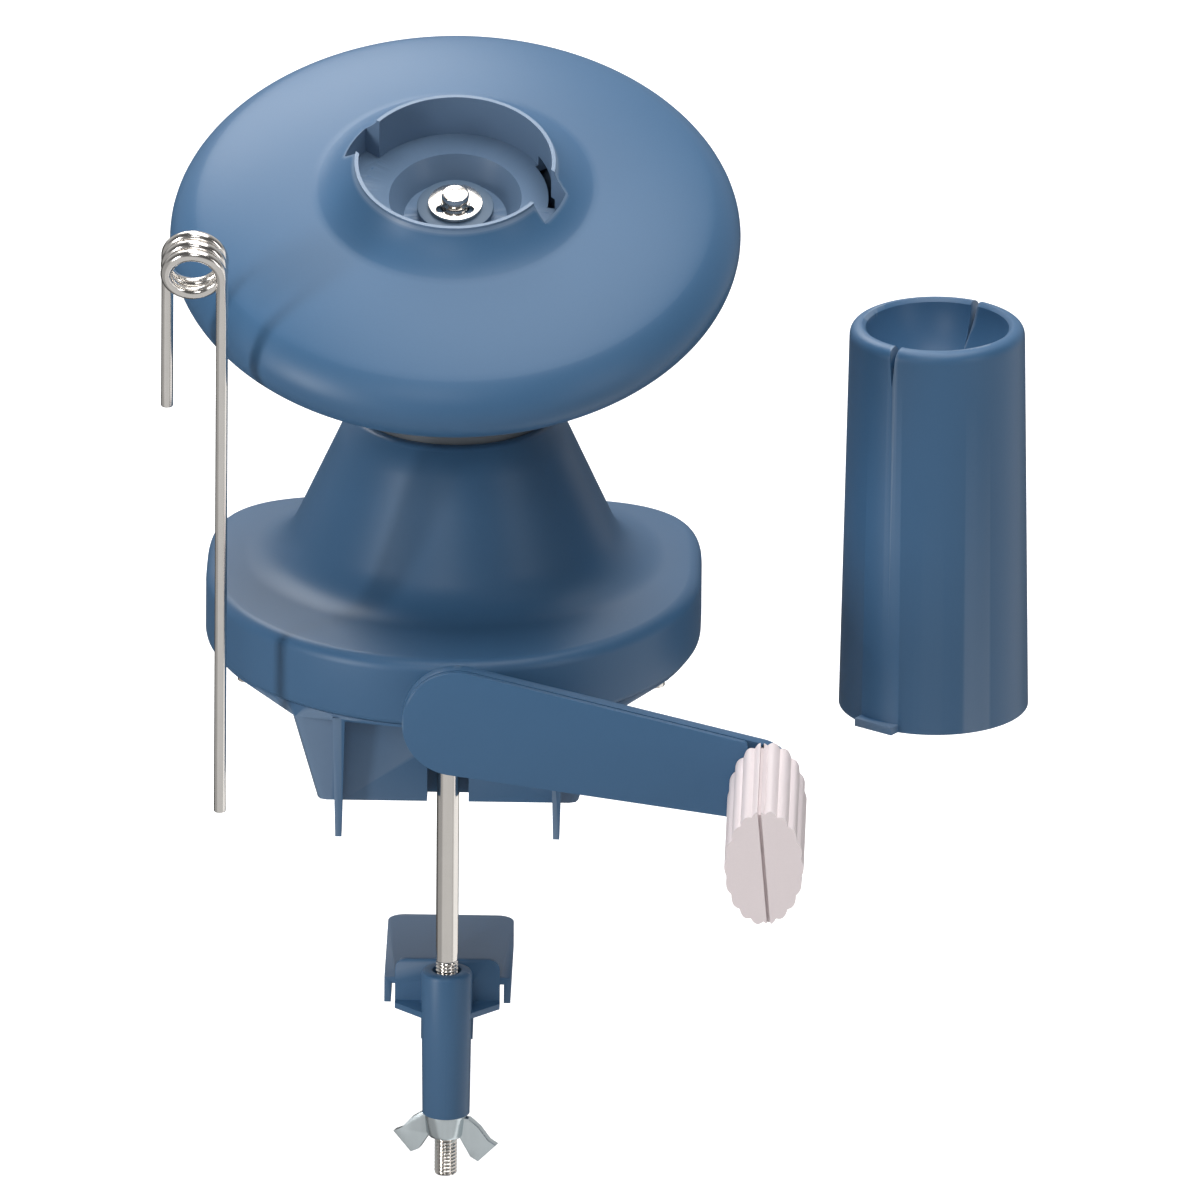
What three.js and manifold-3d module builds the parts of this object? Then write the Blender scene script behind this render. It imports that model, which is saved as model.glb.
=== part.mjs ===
// A hand-cranked yarn ball winder with its table clamp, its bobbin and its yarn guide.
// Millimetres, +Z up, and -Y is the crank side. The origin is on the upright rotor axis, in the seat plane:
// the underside of the foot, which rests on the table top.
// The crank turns a crown wheel with two rings of teeth. The outer ring turns the rotor head by its pinion.
// The inner ring turns the drive shaft a little faster, and that shaft's bevel gear turns the winding disc
// slowly about the tilted arbor, which the rotor head carries.

import * as THREE from "three";
import { mergeVertices } from "three/addons/utils/BufferGeometryUtils.js";
import { ConvexGeometry } from "three/addons/geometries/ConvexGeometry.js";
import Module from "manifold-3d";

const wasm = await Module();
wasm.setup();

// Clearances, overruns and facet counts
const runningGap = 0.3;
const seatGap = 0.2;
const faceGap = 0.3;
const overrun = 2;
const mergeTolerance = 0.0001;
const fineSides = 40;
const roundSides = 16;
const middlingSides = 32;
const smallSides = 12;

// Neck and flange
const neckTopFlatRadius = 26.3;
const neckEdgeRadius = 2;
const neckSlopeShare = 0.458;
const neckFootRise = 9.5;
const neckWall = 2.8;
const neckBlendRadius = 57;
const neckWellDepth = 7;
const deckThickness = 3;
const bearingBossRadius = 11.5;
const bearingBossDepth = 6;
const bearingClearance = 7.05;
const flangeRise = 11.3;
const flangeDrop = 7.2;
const flangeHalfWidth = 65.9;
const flangeFrontDepth = 71;
const flangeBackDepth = 55.5;
const flangeCentreSetback = 10;
const flangeFrontPowerShare = 2;
const flangeBackPowerShare = 4;
const flangeTopEdge = 3.5;
const flangeBottomEdge = 1.8;
const flangeWall = 3;
const flangeRoof = 2.7;
const squeezePowerShare = 14;
const squeezeMargin = 1;
const shoulderReachShare = 0.6;
const shoulderDropShare = 0.2;
const edgeRoundShare = 0.3;

// Drive: gear axis and the two tooth rings
const gearModule = 1.5;
const outerRingTeeth = 35;
const rotorPinionTeeth = 12;
const innerRingTeeth = 24;
const drivePinionTeeth = 8;
const crownFloorGap = 2.45;
const toothAddendum = 1.2;
const toothDedendum = 1.9;
const pinionWidth = 5;
const ringFaceWidth = 4.6;
const pinionTipShare = 0.2;
const pinionRootShare = 0.42;
const ringTipShare = 0.22;
const ringRootShare = 0.44;
const crownWebThickness = 3.6;
const crownRimMargin = 0.6;
const crownHubRadius = 8;
const crownHubLength = 7;
const crankShaftRadius = 3.5;
const crankShaftSetback = 8;

// Drive shaft, rotor sleeve and their bearings
const driveShaftRadius = 3;
const driveShaftFoot = 3.6;
const footBossRadius = 6.5;
const footBossHeight = 10;
const footBushWall = 1.2;
const rotorSleeveRadius = 6;
const neckBushWall = 2;
const neckBushFlangeRadius = 10.5;
const neckBushFlangeThickness = 1;
const sleeveEndMargin = 0.8;

// Rotor head
const rotorHeadRadius = 24.8;
const rotorWall = 2.5;
const rotorFloorThickness = 3.4;
const rotorRimLift = 5.6;
const bracketHalfWidth = 10;
const bracketTopLift = 0.8;
const bracketThickness = 3.3;
const arborSocketRadius = 6.5;
const arborSocketLift = 7;

// Tilted axis, which crosses the rotor axis at the crossing height
const tiltDegrees = 21.2;
const bevelTeeth = 18;
const bevelInnerRadius = 14;
const bevelOuterRadius = 20;
const bevelAddendum = 1;
const bevelDedendum = 1.3;
const bevelTipShare = 0.24;
const bevelRootShare = 0.42;
const sunBodyDepth = 8;
const sunWebThickness = 3.5;
const sunHubRadius = 7;
const sunHubTopDrop = 8;
const sunHubGap = 1.6;
const sunHubLength = 6.4;
const discGearBodyLift = 8.5;
const discGearWebThickness = 3;
const discGearHubWall = 2;
const discGearHubLift = 16;

// Arbor, clip and hub bushes
const arborRadius = 3.7;
const arborFootDrop = 1.3;
const arborTipRise = 4.2;
const arborTipChamfer = 0.6;
const clipThickness = 0.9;
const clipRadius = 7.15;
const clipGrooveDepth = 0.5;
const clipGrooveMargin = 0.1;
const clipMouthWidth = 3.2;
const clipWindowRadius = 1.5;
const clipWindowOffset = 4.6;
const clipWindowSpread = 52;
const hubBushWall = 1.4;
const hubBushFlangeRadius = 10.2;
const hubBushFlangeThickness = 1.8;
const hubBushLength = 14;
const lowerBushFlangeThickness = 1.2;

// Winding disc: lifts are measured up the tilted axis from the crossing
const discRimLift = 45.05;
const discRimRadius = 75.7;
const discLipDepth = 7.6;
const discLipRadius = 70.4;
const discWall = 2.3;
const domeHeight = 19.3;
const domeReach = 79.4;
const domeEdgeRadius = 68.4;
const collarOuterRadius = 26.65;
const collarWall = 1;
const collarRise = 26.35;
const collarDepth = 12.9;
const collarFloorThickness = 2.3;
const flareRadius = 37;
const collarFlareReach = 4.5;
const collarFlareLift = 2.5;
const flareStepShare = 0.03;
const wellRadius = 17.6;
const wellFloorRadius = 13.7;
const wellDepth = 6.7;
const wellWall = 2.2;
const hubRadius = 8.4;
const hubFootLift = 9;
const hubBossRadius = 9;
const hubBossRise = 2;
const skirtFootLift = 6.4;
const skirtFootRadius = 27;
const skirtTopRadius = 32.4;
const skirtWall = 2.7;
const pocketRadius = 30.2;
const pocketStartDegrees = -37;
const pocketSpanDegrees = 33;
const pocketRampDegrees = 9;
const trackInnerRadius = 24.7;
const trackOuterRadius = 29.4;
const trackStartDegrees = -8;
const trackSpanDegrees = 40;
const trackHeight = 3.2;

// Base housing and foot
const plateThickness = 3.4;
const plateRim = 0.8;
const plateInset = 1.8;
const footFrontFace = 65;
const footWall = 2.5;
const footFloorThickness = 2.6;
const footTopHalfWidth = 41.3;
const footSideBack = 2;
const footBackReach = 24;
const footBackHalfWidth = 34;
const footTaper = 6.7;
const footCornerCut = 2.4;
const notchWidth = 11;
const notchDepth = 6.7;
const notchHeight = 14;
const rodBlockWall = 2.6;
const rodBlockDepth = 13;
const rodBlockTop = 22;
const bearingPostHalfWidth = 8.5;
const bearingPostThickness = 6;
const bearingPostSetback = 25;
const bearingPostCrown = 7.5;
const stopFinOffset = 28.9;
const stopFinTopThickness = 3.3;
const stopFinTipThickness = 1.7;
const stopFinDepth = 7;
const stopFinTipDepth = 4.5;
const stopFinDrop = 8.7;

// Crank
const crankDroopDegrees = -13.35;
const crankReach = 87.5;
const armLeanDegrees = -11.1;
const armEyeOffset = 2.95;
const armEyeRadius = 14.55;
const armTipRadius = 10.6;
const armTipShortfall = 4.3;
const armStandoff = 8.5;
const armThickness = 3.8;
const armBossRadius = 7;
const armRecessDepth = 1.8;
const coverGap = 0.5;
const coverThickness = 1.7;
const coverReach = 79.6;
const coverCorner = 1.5;
const coverPegRadius = 1.5;
const coverPegLength = 2.6;
const coverPegNear = 24;
const coverPegFar = 62;
const crankScrewHeadRadius = 4.4;
const crankScrewHeadThickness = 1.3;
const crankScrewRadius = 1.5;
const crankScrewLength = 10;
const frontBushLength = 11.3;
const frontBushWall = 1;
const frontBushFlangeRadius = 6.5;
const frontBushFlangeThickness = 1;
const shellBossRadius = 7;
const shaftCollarRadius = 5.6;
const shaftCollarThickness = 4;

// Grip
const gripPinRadius = 3;
const gripPinHeadRadius = 3.9;
const gripPinHeadLength = 3;
const gripWidth = 21;
const gripHeight = 32.2;
const gripLength = 50.5;
const gripEndThickness = 3.2;
const gripChamberLength = 9;
const gripFlutes = 24;
const gripFluteShare = 0.055;
const gripFluteSteps = 4;
const gripSlitWidth = 0.9;
const gripSlitDepth = 1.6;
const gripSlitLeanDegrees = 5;

// Clamp
const rodRadius = 3;
const rodSetback = 62.5;
const rodTop = 21.6;
const rodEnd = 107;
const rodChamfer = 0.8;
const nutAcrossFlats = 10;
const nutThickness = 4.6;
const jawTop = 49;
const jawBottom = 89.5;
const jawTopRadius = 6.8;
const jawBottomRadius = 6.3;
const jawBoreRadius = 3.9;
const jawEdge = 1.2;
const stopWallWidth = 27.9;
const stopWallHeight = 13.3;
const stopWallThickness = 1.8;
const stopWallSetback = 7.5;
const stopWallCorner = 3;
const gussetThickness = 1.6;
const gussetFrontHalfWidth = 6.2;
const gussetFrontReach = 2;
const padDrop = 54.2;
const padHalfWidth = 16.8;
const padLength = 46;
const padThickness = 1.8;
const padCorner = 4.5;
const padSkirtDepth = 5.3;
const ribOffset = 6;
const ribThickness = 1.8;
const ribDepth = 11;
const ribReachShare = 0.82;
const wingHubRadius = 5.6;
const wingHubLength = 6.2;
const wingThickness = 2.2;
const wingSpan = 29.2;
const wingTipDrop = 7;
const wingLowDrop = 12.2;
const wingLowReach = 9.6;
const wingTurnDegrees = -20;

// Base screws
const screwHeadRadius = 2.8;
const screwHeadThickness = 1.6;
const screwRadius = 1.4;
const screwLength = 14;
const screwBossRadius = 4;
const screwFrontX = 54;
const screwFrontSetback = 32;
const screwBackX = 49;
const screwBackReach = 24;

// Bobbin, standing beside the winder
const bobbinX = 127.8;
const bobbinY = 13.9;
const bobbinHeight = 107.5;
const bobbinFootRadius = 25.3;
const bobbinTopRadius = 23.4;
const bobbinEdge = 3.4;
const bobbinMouthRadius = 19.1;
const bobbinBowlDepth = 19;
const bobbinBowlShare = 0.9;
const bobbinWall = 2.2;
const bobbinSlitWidth = 2.5;
const bobbinSlitDepth = 11;
const bobbinSlitDegrees = 60;
const bobbinTabWidth = 12;
const bobbinTabThickness = 2.2;
const bobbinTabReach = 2.3;
const bobbinTabDegrees = 55;

// Yarn guide, standing beside the winder
const guideX = -67.6;
const guideSetback = 74.6;
const wireRadius = 1.65;
const coilRadius = 7.35;
const coilTurns = 2.5;
const coilTurnGap = 0.5;
const coilTiltDegrees = 20;
const coilCentreHeight = 151.8;
const guideShortLegEnd = 111.3;
const legBend = 9;
const wireSides = 8;
const coilSteps = 20;
const legSteps = 4;

// Derived places
const tilt = THREE.MathUtils.degToRad(tiltDegrees);
const outerRingRadius = (gearModule * outerRingTeeth) / 2;
const innerRingRadius = (gearModule * innerRingTeeth) / 2;
const rotorPinionRadius = (gearModule * rotorPinionTeeth) / 2;
const drivePinionRadius = (gearModule * drivePinionTeeth) / 2;
const crownRimRadius = outerRingRadius + ringFaceWidth / 2 + crownRimMargin;
const crankAxisHeight = footFloorThickness + crownFloorGap + crownRimRadius;
const flangeTopHeight = crankAxisHeight + flangeRise;
const flangeBottomHeight = crankAxisHeight - flangeDrop;
const rotorPinionHeight = crankAxisHeight + outerRingRadius;
const drivePinionHeight = crankAxisHeight + innerRingRadius;
const bearingLow = rotorPinionHeight + pinionWidth / 2 + bearingClearance;
const deckUnderside = bearingLow + bearingBossDepth;
const deckTopHeight = deckUnderside + deckThickness;
const neckTopHeight = deckTopHeight + neckWellDepth;
const neckFootHeight = flangeTopHeight + neckFootRise;
const wellHoleRadius = rotorHeadRadius + runningGap;
const neckBushRadius = rotorSleeveRadius + runningGap + neckBushWall;
const rotorFloorBottom = deckTopHeight + faceGap + neckBushFlangeThickness + runningGap;
const rotorFloorTop = rotorFloorBottom + rotorFloorThickness;
const sunHubLow = rotorFloorTop + sunHubGap;
const sunHubTop = sunHubLow + sunHubLength;
const crossingHeight = sunHubTop + sunHubTopDrop;
const hubBoreRadius = arborRadius + runningGap + hubBushWall + seatGap;
const collarTopLift = discRimLift + collarRise;
const collarFloorLift = collarTopLift - collarDepth;
const wellFloorLift = collarFloorLift - wellDepth;
const hubBossTopLift = wellFloorLift + hubBossRise;
const clipLift = hubBossTopLift + hubBushFlangeThickness + 2 * faceGap;
const arborTipLift = clipLift + arborTipRise;
const plateTop = flangeBottomHeight - faceGap;
const plateBottom = plateTop - plateThickness;
const rodBoreRadius = rodRadius + seatGap;
const frontBushRadius = crankShaftRadius + runningGap + frontBushWall;
const frontFace = flangeFrontDepth + flangeCentreSetback;
const armBossBack = frontFace + faceGap + frontBushFlangeThickness + faceGap;
const armBackSetback = frontFace + armStandoff;
const armFront = armBackSetback + armThickness;
const coverBack = armFront + coverGap;
const coverFront = coverBack + coverThickness;
const armTipReach = crankReach - armTipShortfall;
const armTaper = Math.asin((armEyeRadius - armTipRadius) / (armTipReach - armEyeOffset));
const coilPitch = 2 * wireRadius + coilTurnGap;

// Turns a closed three.js geometry into a solid for joining and cutting.
function solid(geometry) {
  const plain = geometry.index ? geometry.toNonIndexed() : geometry.clone();
  plain.deleteAttribute("normal");
  plain.deleteAttribute("uv");
  const merged = mergeVertices(plain, mergeTolerance);
  const corners = merged.index.array;
  const kept = [];
  for (let i = 0; i < corners.length; i += 3) {
    const [a, b, c] = [corners[i], corners[i + 1], corners[i + 2]];
    if (a !== b && b !== c && c !== a) kept.push(a, b, c);
  }
  return new wasm.Manifold(
    new wasm.Mesh({
      numProp: 3,
      vertProperties: merged.attributes.position.array,
      triVerts: new Uint32Array(kept),
    }),
  );
}

const asSolid = (made) => (made.isBufferGeometry ? solid(made) : made);

function join(first, ...others) {
  return others.reduce((whole, other) => whole.add(asSolid(other)), asSolid(first));
}

function cut(first, ...tools) {
  return tools.reduce((whole, tool) => whole.subtract(asSolid(tool)), asSolid(first));
}

function asGeometry(made) {
  const data = asSolid(made).getMesh();
  const geometry = new THREE.BufferGeometry();
  geometry.setAttribute("position", new THREE.BufferAttribute(new Float32Array(data.vertProperties), 3));
  geometry.setIndex(new THREE.BufferAttribute(new Uint32Array(data.triVerts), 1));
  return geometry;
}

const group = new THREE.Group();
const tiltedGroup = new THREE.Group();
tiltedGroup.position.z = crossingHeight;
tiltedGroup.rotation.x = tilt;
const crankGroup = new THREE.Group();
crankGroup.position.z = crankAxisHeight;
crankGroup.rotation.x = Math.PI / 2;
group.add(tiltedGroup, crankGroup);

function piece(name, made, material, parent = group) {
  const geometry = asGeometry(made);
  geometry.computeVertexNormals();
  const mesh = new THREE.Mesh(geometry, material.clone());
  mesh.name = name;
  parent.add(mesh);
  return mesh;
}

// Shapes

const point = (x, y) => new THREE.Vector2(x, y);

// A closed profile of radius and height, turned about the Z axis.
function turned(profile, sides = roundSides) {
  const points = profile.map(([radius, height]) => point(radius, height));
  const ordered = THREE.ShapeUtils.isClockWise(points) ? points.reverse() : points;
  const onAxis = ordered[0].x === 0 && ordered[ordered.length - 1].x === 0;
  if (!onAxis) ordered.push(ordered[0].clone());
  return new THREE.LatheGeometry(ordered, sides).rotateX(Math.PI / 2);
}

function rod(radius, low, high, sides = roundSides) {
  return turned([[0, low], [radius, low], [radius, high], [0, high]], sides);
}

function tube(inner, outer, low, high, sides = roundSides) {
  return turned([[inner, low], [outer, low], [outer, high], [inner, high]], sides);
}

// A bush with its flange at the top or at the bottom.
function flangedBush(inner, outer, flangeRadius, low, high, flangeThickness, flangeAtTop, sides) {
  const step = flangeAtTop ? high - flangeThickness : low + flangeThickness;
  const wide = flangeAtTop
    ? [[outer, low], [outer, step], [flangeRadius, step], [flangeRadius, high]]
    : [[flangeRadius, low], [flangeRadius, step], [outer, step], [outer, high]];
  return turned([[inner, low], ...wide, [inner, high]], sides);
}

function block(lowX, highX, lowY, highY, lowZ, highZ) {
  const made = new THREE.BoxGeometry(highX - lowX, highY - lowY, highZ - lowZ);
  return made.translate((lowX + highX) / 2, (lowY + highY) / 2, (lowZ + highZ) / 2);
}

// An outline extruded up Z between two heights.
function plate(outline, low, high, curveSides = 6) {
  const shape = Array.isArray(outline) ? new THREE.Shape(outline.map(([x, y]) => point(x, y))) : outline;
  const options = { depth: high - low, bevelEnabled: false, curveSegments: curveSides };
  return new THREE.ExtrudeGeometry(shape, options).translate(0, 0, low);
}

function roundedRectangle(halfWidth, low, high, cornerLow, cornerHigh) {
  const shape = new THREE.Shape();
  shape.moveTo(-halfWidth + cornerLow, low);
  shape.lineTo(halfWidth - cornerLow, low);
  if (cornerLow > 0) shape.absarc(halfWidth - cornerLow, low + cornerLow, cornerLow, -Math.PI / 2, 0);
  shape.lineTo(halfWidth, high - cornerHigh);
  if (cornerHigh > 0) shape.absarc(halfWidth - cornerHigh, high - cornerHigh, cornerHigh, 0, Math.PI / 2);
  shape.lineTo(-halfWidth + cornerHigh, high);
  if (cornerHigh > 0) {
    shape.absarc(-halfWidth + cornerHigh, high - cornerHigh, cornerHigh, Math.PI / 2, Math.PI);
  }
  shape.lineTo(-halfWidth, low + cornerLow);
  if (cornerLow > 0) {
    shape.absarc(-halfWidth + cornerLow, low + cornerLow, cornerLow, Math.PI, (3 * Math.PI) / 2);
  }
  return shape;
}

function quadraticPoints(start, control, end, steps) {
  const curve = new THREE.QuadraticBezierCurve(point(...start), point(...control), point(...end));
  return curve.getPoints(steps).map((p) => [p.x, p.y]);
}

function cubicPoints(start, first, second, end, steps) {
  const curve = new THREE.CubicBezierCurve(point(...start), point(...first), point(...second), point(...end));
  return curve.getPoints(steps).map((p) => [p.x, p.y]);
}

// A ring sector between two radii and two angles, as an outline.
function sectorOutline(inner, outer, startDegrees, spanDegrees, steps = 6) {
  const outline = [];
  for (let i = 0; i <= steps; i++) {
    const angle = THREE.MathUtils.degToRad(startDegrees + (spanDegrees * i) / steps);
    outline.push([outer * Math.cos(angle), outer * Math.sin(angle)]);
  }
  for (let i = steps; i >= 0; i--) {
    const angle = THREE.MathUtils.degToRad(startDegrees + (spanDegrees * i) / steps);
    outline.push([inner * Math.cos(angle), inner * Math.sin(angle)]);
  }
  return outline;
}

// A closed loft: rings[i] is a loop of [x, y, z] points, and the last ring joins the first.
function wrappedLoft(rings) {
  const positions = rings.flat(2);
  const loop = rings[0].length;
  const index = [];
  rings.forEach((ring, i) => {
    const here = i * loop;
    const next = ((i + 1) % rings.length) * loop;
    ring.forEach((_, j) => {
      const after = (j + 1) % loop;
      index.push(here + j, next + j, next + after, here + j, next + after, here + after);
    });
  });
  const geometry = new THREE.BufferGeometry();
  geometry.setAttribute("position", new THREE.Float32BufferAttribute(positions, 3));
  geometry.setIndex(index);
  return geometry;
}

// Gears

// A spur pinion's outline, with a tooth centred on the -Y side.
function pinionOutline(teeth) {
  const pitchRadius = (gearModule * teeth) / 2;
  const tip = pitchRadius + toothAddendum;
  const root = pitchRadius - toothDedendum;
  const pitchAngle = (2 * Math.PI) / teeth;
  const outline = [];
  for (let i = 0; i < teeth; i++) {
    const centre = -Math.PI / 2 + i * pitchAngle;
    const corners = [
      [root, -pinionRootShare],
      [tip, -pinionTipShare],
      [tip, pinionTipShare],
      [root, pinionRootShare],
    ];
    for (const [radius, share] of corners) {
      const width = share * pitchAngle * (pitchRadius / radius) * 0.5;
      outline.push([radius * Math.cos(centre + width), radius * Math.sin(centre + width)]);
    }
  }
  return outline;
}

// A ring of straight radial teeth on a flat or conical face. rise(radius) is the height of the pitch surface,
// direction is +1 or -1 for the side on which the teeth stand, and gapAngle is where a gap is centred.
function toothedRing(ring) {
  const pitchAngle = (2 * Math.PI) / ring.teeth;
  const rings = [];
  const heights = (radius, level) => ring.rise(radius) + ring.direction * level;
  for (let i = 0; i < ring.teeth; i++) {
    const centre = ring.gapAngle + (i + 0.5) * pitchAngle;
    const stations = [
      [-ring.rootShare, -ring.dedendum],
      [-ring.tipShare, ring.addendum],
      [ring.tipShare, ring.addendum],
      [ring.rootShare, -ring.dedendum],
    ];
    for (const [share, level] of stations) {
      const angle = centre + share * pitchAngle * 0.5;
      const at = (radius, height) => [radius * Math.cos(angle), radius * Math.sin(angle), height];
      const loop = [
        at(ring.inner, ring.base),
        at(ring.outer, ring.base),
        at(ring.outer, heights(ring.outer, level)),
        at(ring.inner, heights(ring.inner, level)),
      ];
      rings.push(ring.direction > 0 ? loop : loop.reverse());
    }
  }
  return wrappedLoft(rings);
}

// Plan of the flange: a rounded square, flatter at the back, as a radius about the rotor axis.
function flangeReach(angle) {
  const inside = (radius) => {
    const x = Math.abs(radius * Math.cos(angle));
    const y = radius * Math.sin(angle) + flangeCentreSetback;
    const depth = y < 0 ? flangeFrontDepth : flangeBackDepth;
    const power = y < 0 ? flangeFrontPowerShare : flangeBackPowerShare;
    return (x / flangeHalfWidth) ** power + (Math.abs(y) / depth) ** power < 1;
  };
  let low = 0;
  let high = flangeFrontDepth + flangeBackDepth;
  while (high - low > mergeTolerance) {
    const middle = (low + high) / 2;
    if (inside(middle)) low = middle;
    else high = middle;
  }
  return low;
}

const neckRadiusAt = (height) =>
  neckTopFlatRadius + neckEdgeRadius + neckSlopeShare * (neckTopHeight - height);

// One upright section through the shell, at an angle about the rotor axis.
function shellSection(angle) {
  const reach = flangeReach(angle);
  const room = (reach - flangeTopEdge - squeezeMargin - neckTopFlatRadius) /
    (neckBlendRadius - neckTopFlatRadius);
  const squeeze = (1 + room ** -squeezePowerShare) ** (-1 / squeezePowerShare);
  const drawnIn = (radius) => neckTopFlatRadius + (radius - neckTopFlatRadius) * squeeze;
  const footRadius = neckRadiusAt(neckFootHeight);
  const crossRadius = neckRadiusAt(flangeTopHeight);
  const shoulder = neckEdgeRadius * shoulderReachShare;
  const roofUnderside = flangeTopHeight - flangeRoof;
  const outside = [
    [wellHoleRadius, neckTopHeight],
    [neckTopFlatRadius, neckTopHeight],
    [drawnIn(neckTopFlatRadius + shoulder), neckTopHeight - neckEdgeRadius * shoulderDropShare],
    [drawnIn(neckRadiusAt(neckTopHeight - neckEdgeRadius)), neckTopHeight - neckEdgeRadius],
    ...quadraticPoints([footRadius, neckFootHeight], [crossRadius, flangeTopHeight],
      [neckBlendRadius, flangeTopHeight], 5).map(([r, z]) => [drawnIn(r), z]),
    [reach - flangeTopEdge, flangeTopHeight],
    [reach - flangeTopEdge * edgeRoundShare, flangeTopHeight - flangeTopEdge * edgeRoundShare],
    [reach, flangeTopHeight - flangeTopEdge],
    [reach, flangeBottomHeight + flangeBottomEdge],
    [reach - flangeBottomEdge * edgeRoundShare, flangeBottomHeight + flangeBottomEdge * edgeRoundShare],
    [reach - flangeBottomEdge, flangeBottomHeight],
  ];
  const inside = [
    [reach - flangeWall, flangeBottomHeight],
    [reach - flangeWall, roofUnderside],
    [drawnIn(neckBlendRadius) - flangeTopEdge, roofUnderside],
    [drawnIn(footRadius) - neckWall, neckFootHeight - flangeRoof],
    [drawnIn(neckRadiusAt(deckUnderside)) - neckWall, deckUnderside],
    [bearingBossRadius, deckUnderside],
    [bearingBossRadius, bearingLow],
    [neckBushRadius + seatGap, bearingLow],
    [neckBushRadius + seatGap, deckTopHeight],
    [wellHoleRadius, deckTopHeight],
  ];
  const around = (radius, z) => [radius * Math.cos(angle), radius * Math.sin(angle), z];
  return [...outside, ...inside].map(([radius, z]) => around(radius, z)).reverse();
}

const screwPlaces = [
  [screwFrontX, -screwFrontSetback],
  [-screwFrontX, -screwFrontSetback],
  [screwBackX, screwBackReach],
  [-screwBackX, screwBackReach],
];

function alongCrank(made) {
  return made.rotateX(Math.PI / 2).translate(0, 0, crankAxisHeight);
}

function crankRod(radius, low, high, sides = roundSides) {
  const made = new THREE.CylinderGeometry(radius, radius, high - low, sides);
  return alongCrank(made.rotateX(Math.PI / 2).translate(0, 0, (low + high) / 2));
}

function bodyShell() {
  const sections = [];
  for (let i = 0; i < fineSides; i++) sections.push(shellSection((2 * Math.PI * i) / fineSides));
  const innerEnd = frontFace - frontBushLength;
  const bossBelow = block(-shellBossRadius - overrun, shellBossRadius + overrun,
    -frontFace + flangeWall / 2, -innerEnd + overrun, 0, flangeBottomHeight);
  const boss = cut(crankRod(shellBossRadius, innerEnd, frontFace - flangeWall / 2), bossBelow);
  const pillars = screwPlaces.map(([x, y]) =>
    rod(screwBossRadius, flangeBottomHeight, flangeTopHeight - flangeRoof / 2, smallSides)
      .translate(x, y, 0));
  const pilots = screwPlaces.map(([x, y]) =>
    rod(screwRadius + seatGap, 0, plateTop + screwLength, smallSides).translate(x, y, 0));
  const bore = crankRod(frontBushRadius + seatGap, innerEnd - overrun, frontFace + overrun);
  return cut(join(wrappedLoft(sections), boss, ...pillars), bore, ...pilots);
}

// Base housing: bottom plate, hollow foot box, rod block with its notch, bearing post, stop fins.
function footCorners(inset, height) {
  const drawn = inset + footTaper * (1 - height / plateBottom);
  const front = footFrontFace - inset;
  const half = [
    [footTopHalfWidth - drawn - footCornerCut, -front],
    [footTopHalfWidth - drawn, -front + footCornerCut],
    [footTopHalfWidth - drawn, -footSideBack],
    [footBackHalfWidth - drawn, footBackReach - drawn],
  ];
  return half.flatMap(([x, y]) => [new THREE.Vector3(x, y, height), new THREE.Vector3(-x, y, height)]);
}

const footHull = (inset, low, high) =>
  new ConvexGeometry([...footCorners(inset, low), ...footCorners(inset, high)]);

// The plate closes the flange from below, and its underside slopes down to the foot's top edge.
function slopedPlate() {
  const corners = footCorners(0, plateBottom);
  for (let i = 0; i < middlingSides; i++) {
    const angle = (2 * Math.PI * i) / middlingSides;
    const reach = flangeReach(angle) - plateInset;
    for (const height of [plateTop - plateRim, plateTop]) {
      corners.push(new THREE.Vector3(reach * Math.cos(angle), reach * Math.sin(angle), height));
    }
  }
  return new ConvexGeometry(corners);
}

function baseHousing() {
  const box = join(footHull(0, 0, plateBottom + seatGap), slopedPlate());
  const screwPads = screwPlaces.map(([x, y]) =>
    rod(screwBossRadius, plateBottom, plateTop - plateRim / 2, smallSides).translate(x, y, 0));
  const hollow = footHull(footWall, footFloorThickness, plateTop + overrun);
  const front = -footFrontFace;
  const halfBlock = notchWidth / 2 + rodBlockWall;
  const rodBlock = block(-halfBlock, halfBlock, front, front + rodBlockDepth, 0, rodBlockTop);
  const notch = block(-notchWidth / 2, notchWidth / 2, front - overrun, front + notchDepth,
    -overrun, notchHeight);
  const rodBore = rod(rodBoreRadius, notchHeight - overrun, rodBlockTop + overrun, smallSides)
    .translate(0, -rodSetback, 0);
  const nutLow = rodTop - nutThickness - faceGap;
  const nutPocket = hexagon(nutAcrossFlats + 2 * seatGap, nutLow, rodBlockTop + overrun)
    .translate(0, -rodSetback, 0);
  const footBoss = rod(footBossRadius, footFloorThickness / 2, footBossHeight);
  const bushPocket = rod(driveShaftRadius + runningGap + footBushWall + seatGap, footFloorThickness,
    footBossHeight + overrun);
  const postTop = crankAxisHeight + bearingPostCrown;
  const post = block(-bearingPostHalfWidth, bearingPostHalfWidth, -bearingPostSetback - bearingPostThickness,
    -bearingPostSetback, footFloorThickness / 2, postTop);
  const postBore = crankRod(frontBushRadius + seatGap, bearingPostSetback - overrun,
    bearingPostSetback + bearingPostThickness + overrun);
  const screwHoles = screwPlaces.map(([x, y]) =>
    rod(screwRadius + seatGap, 0, plateTop + overrun, smallSides).translate(x, y, 0));
  const housing = join(cut(box, hollow), rodBlock, footBoss, post, ...screwPads, stopFin(stopFinOffset),
    stopFin(-stopFinOffset));
  return cut(housing, notch, rodBore, nutPocket, bushPocket, postBore, ...screwHoles);
}

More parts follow.
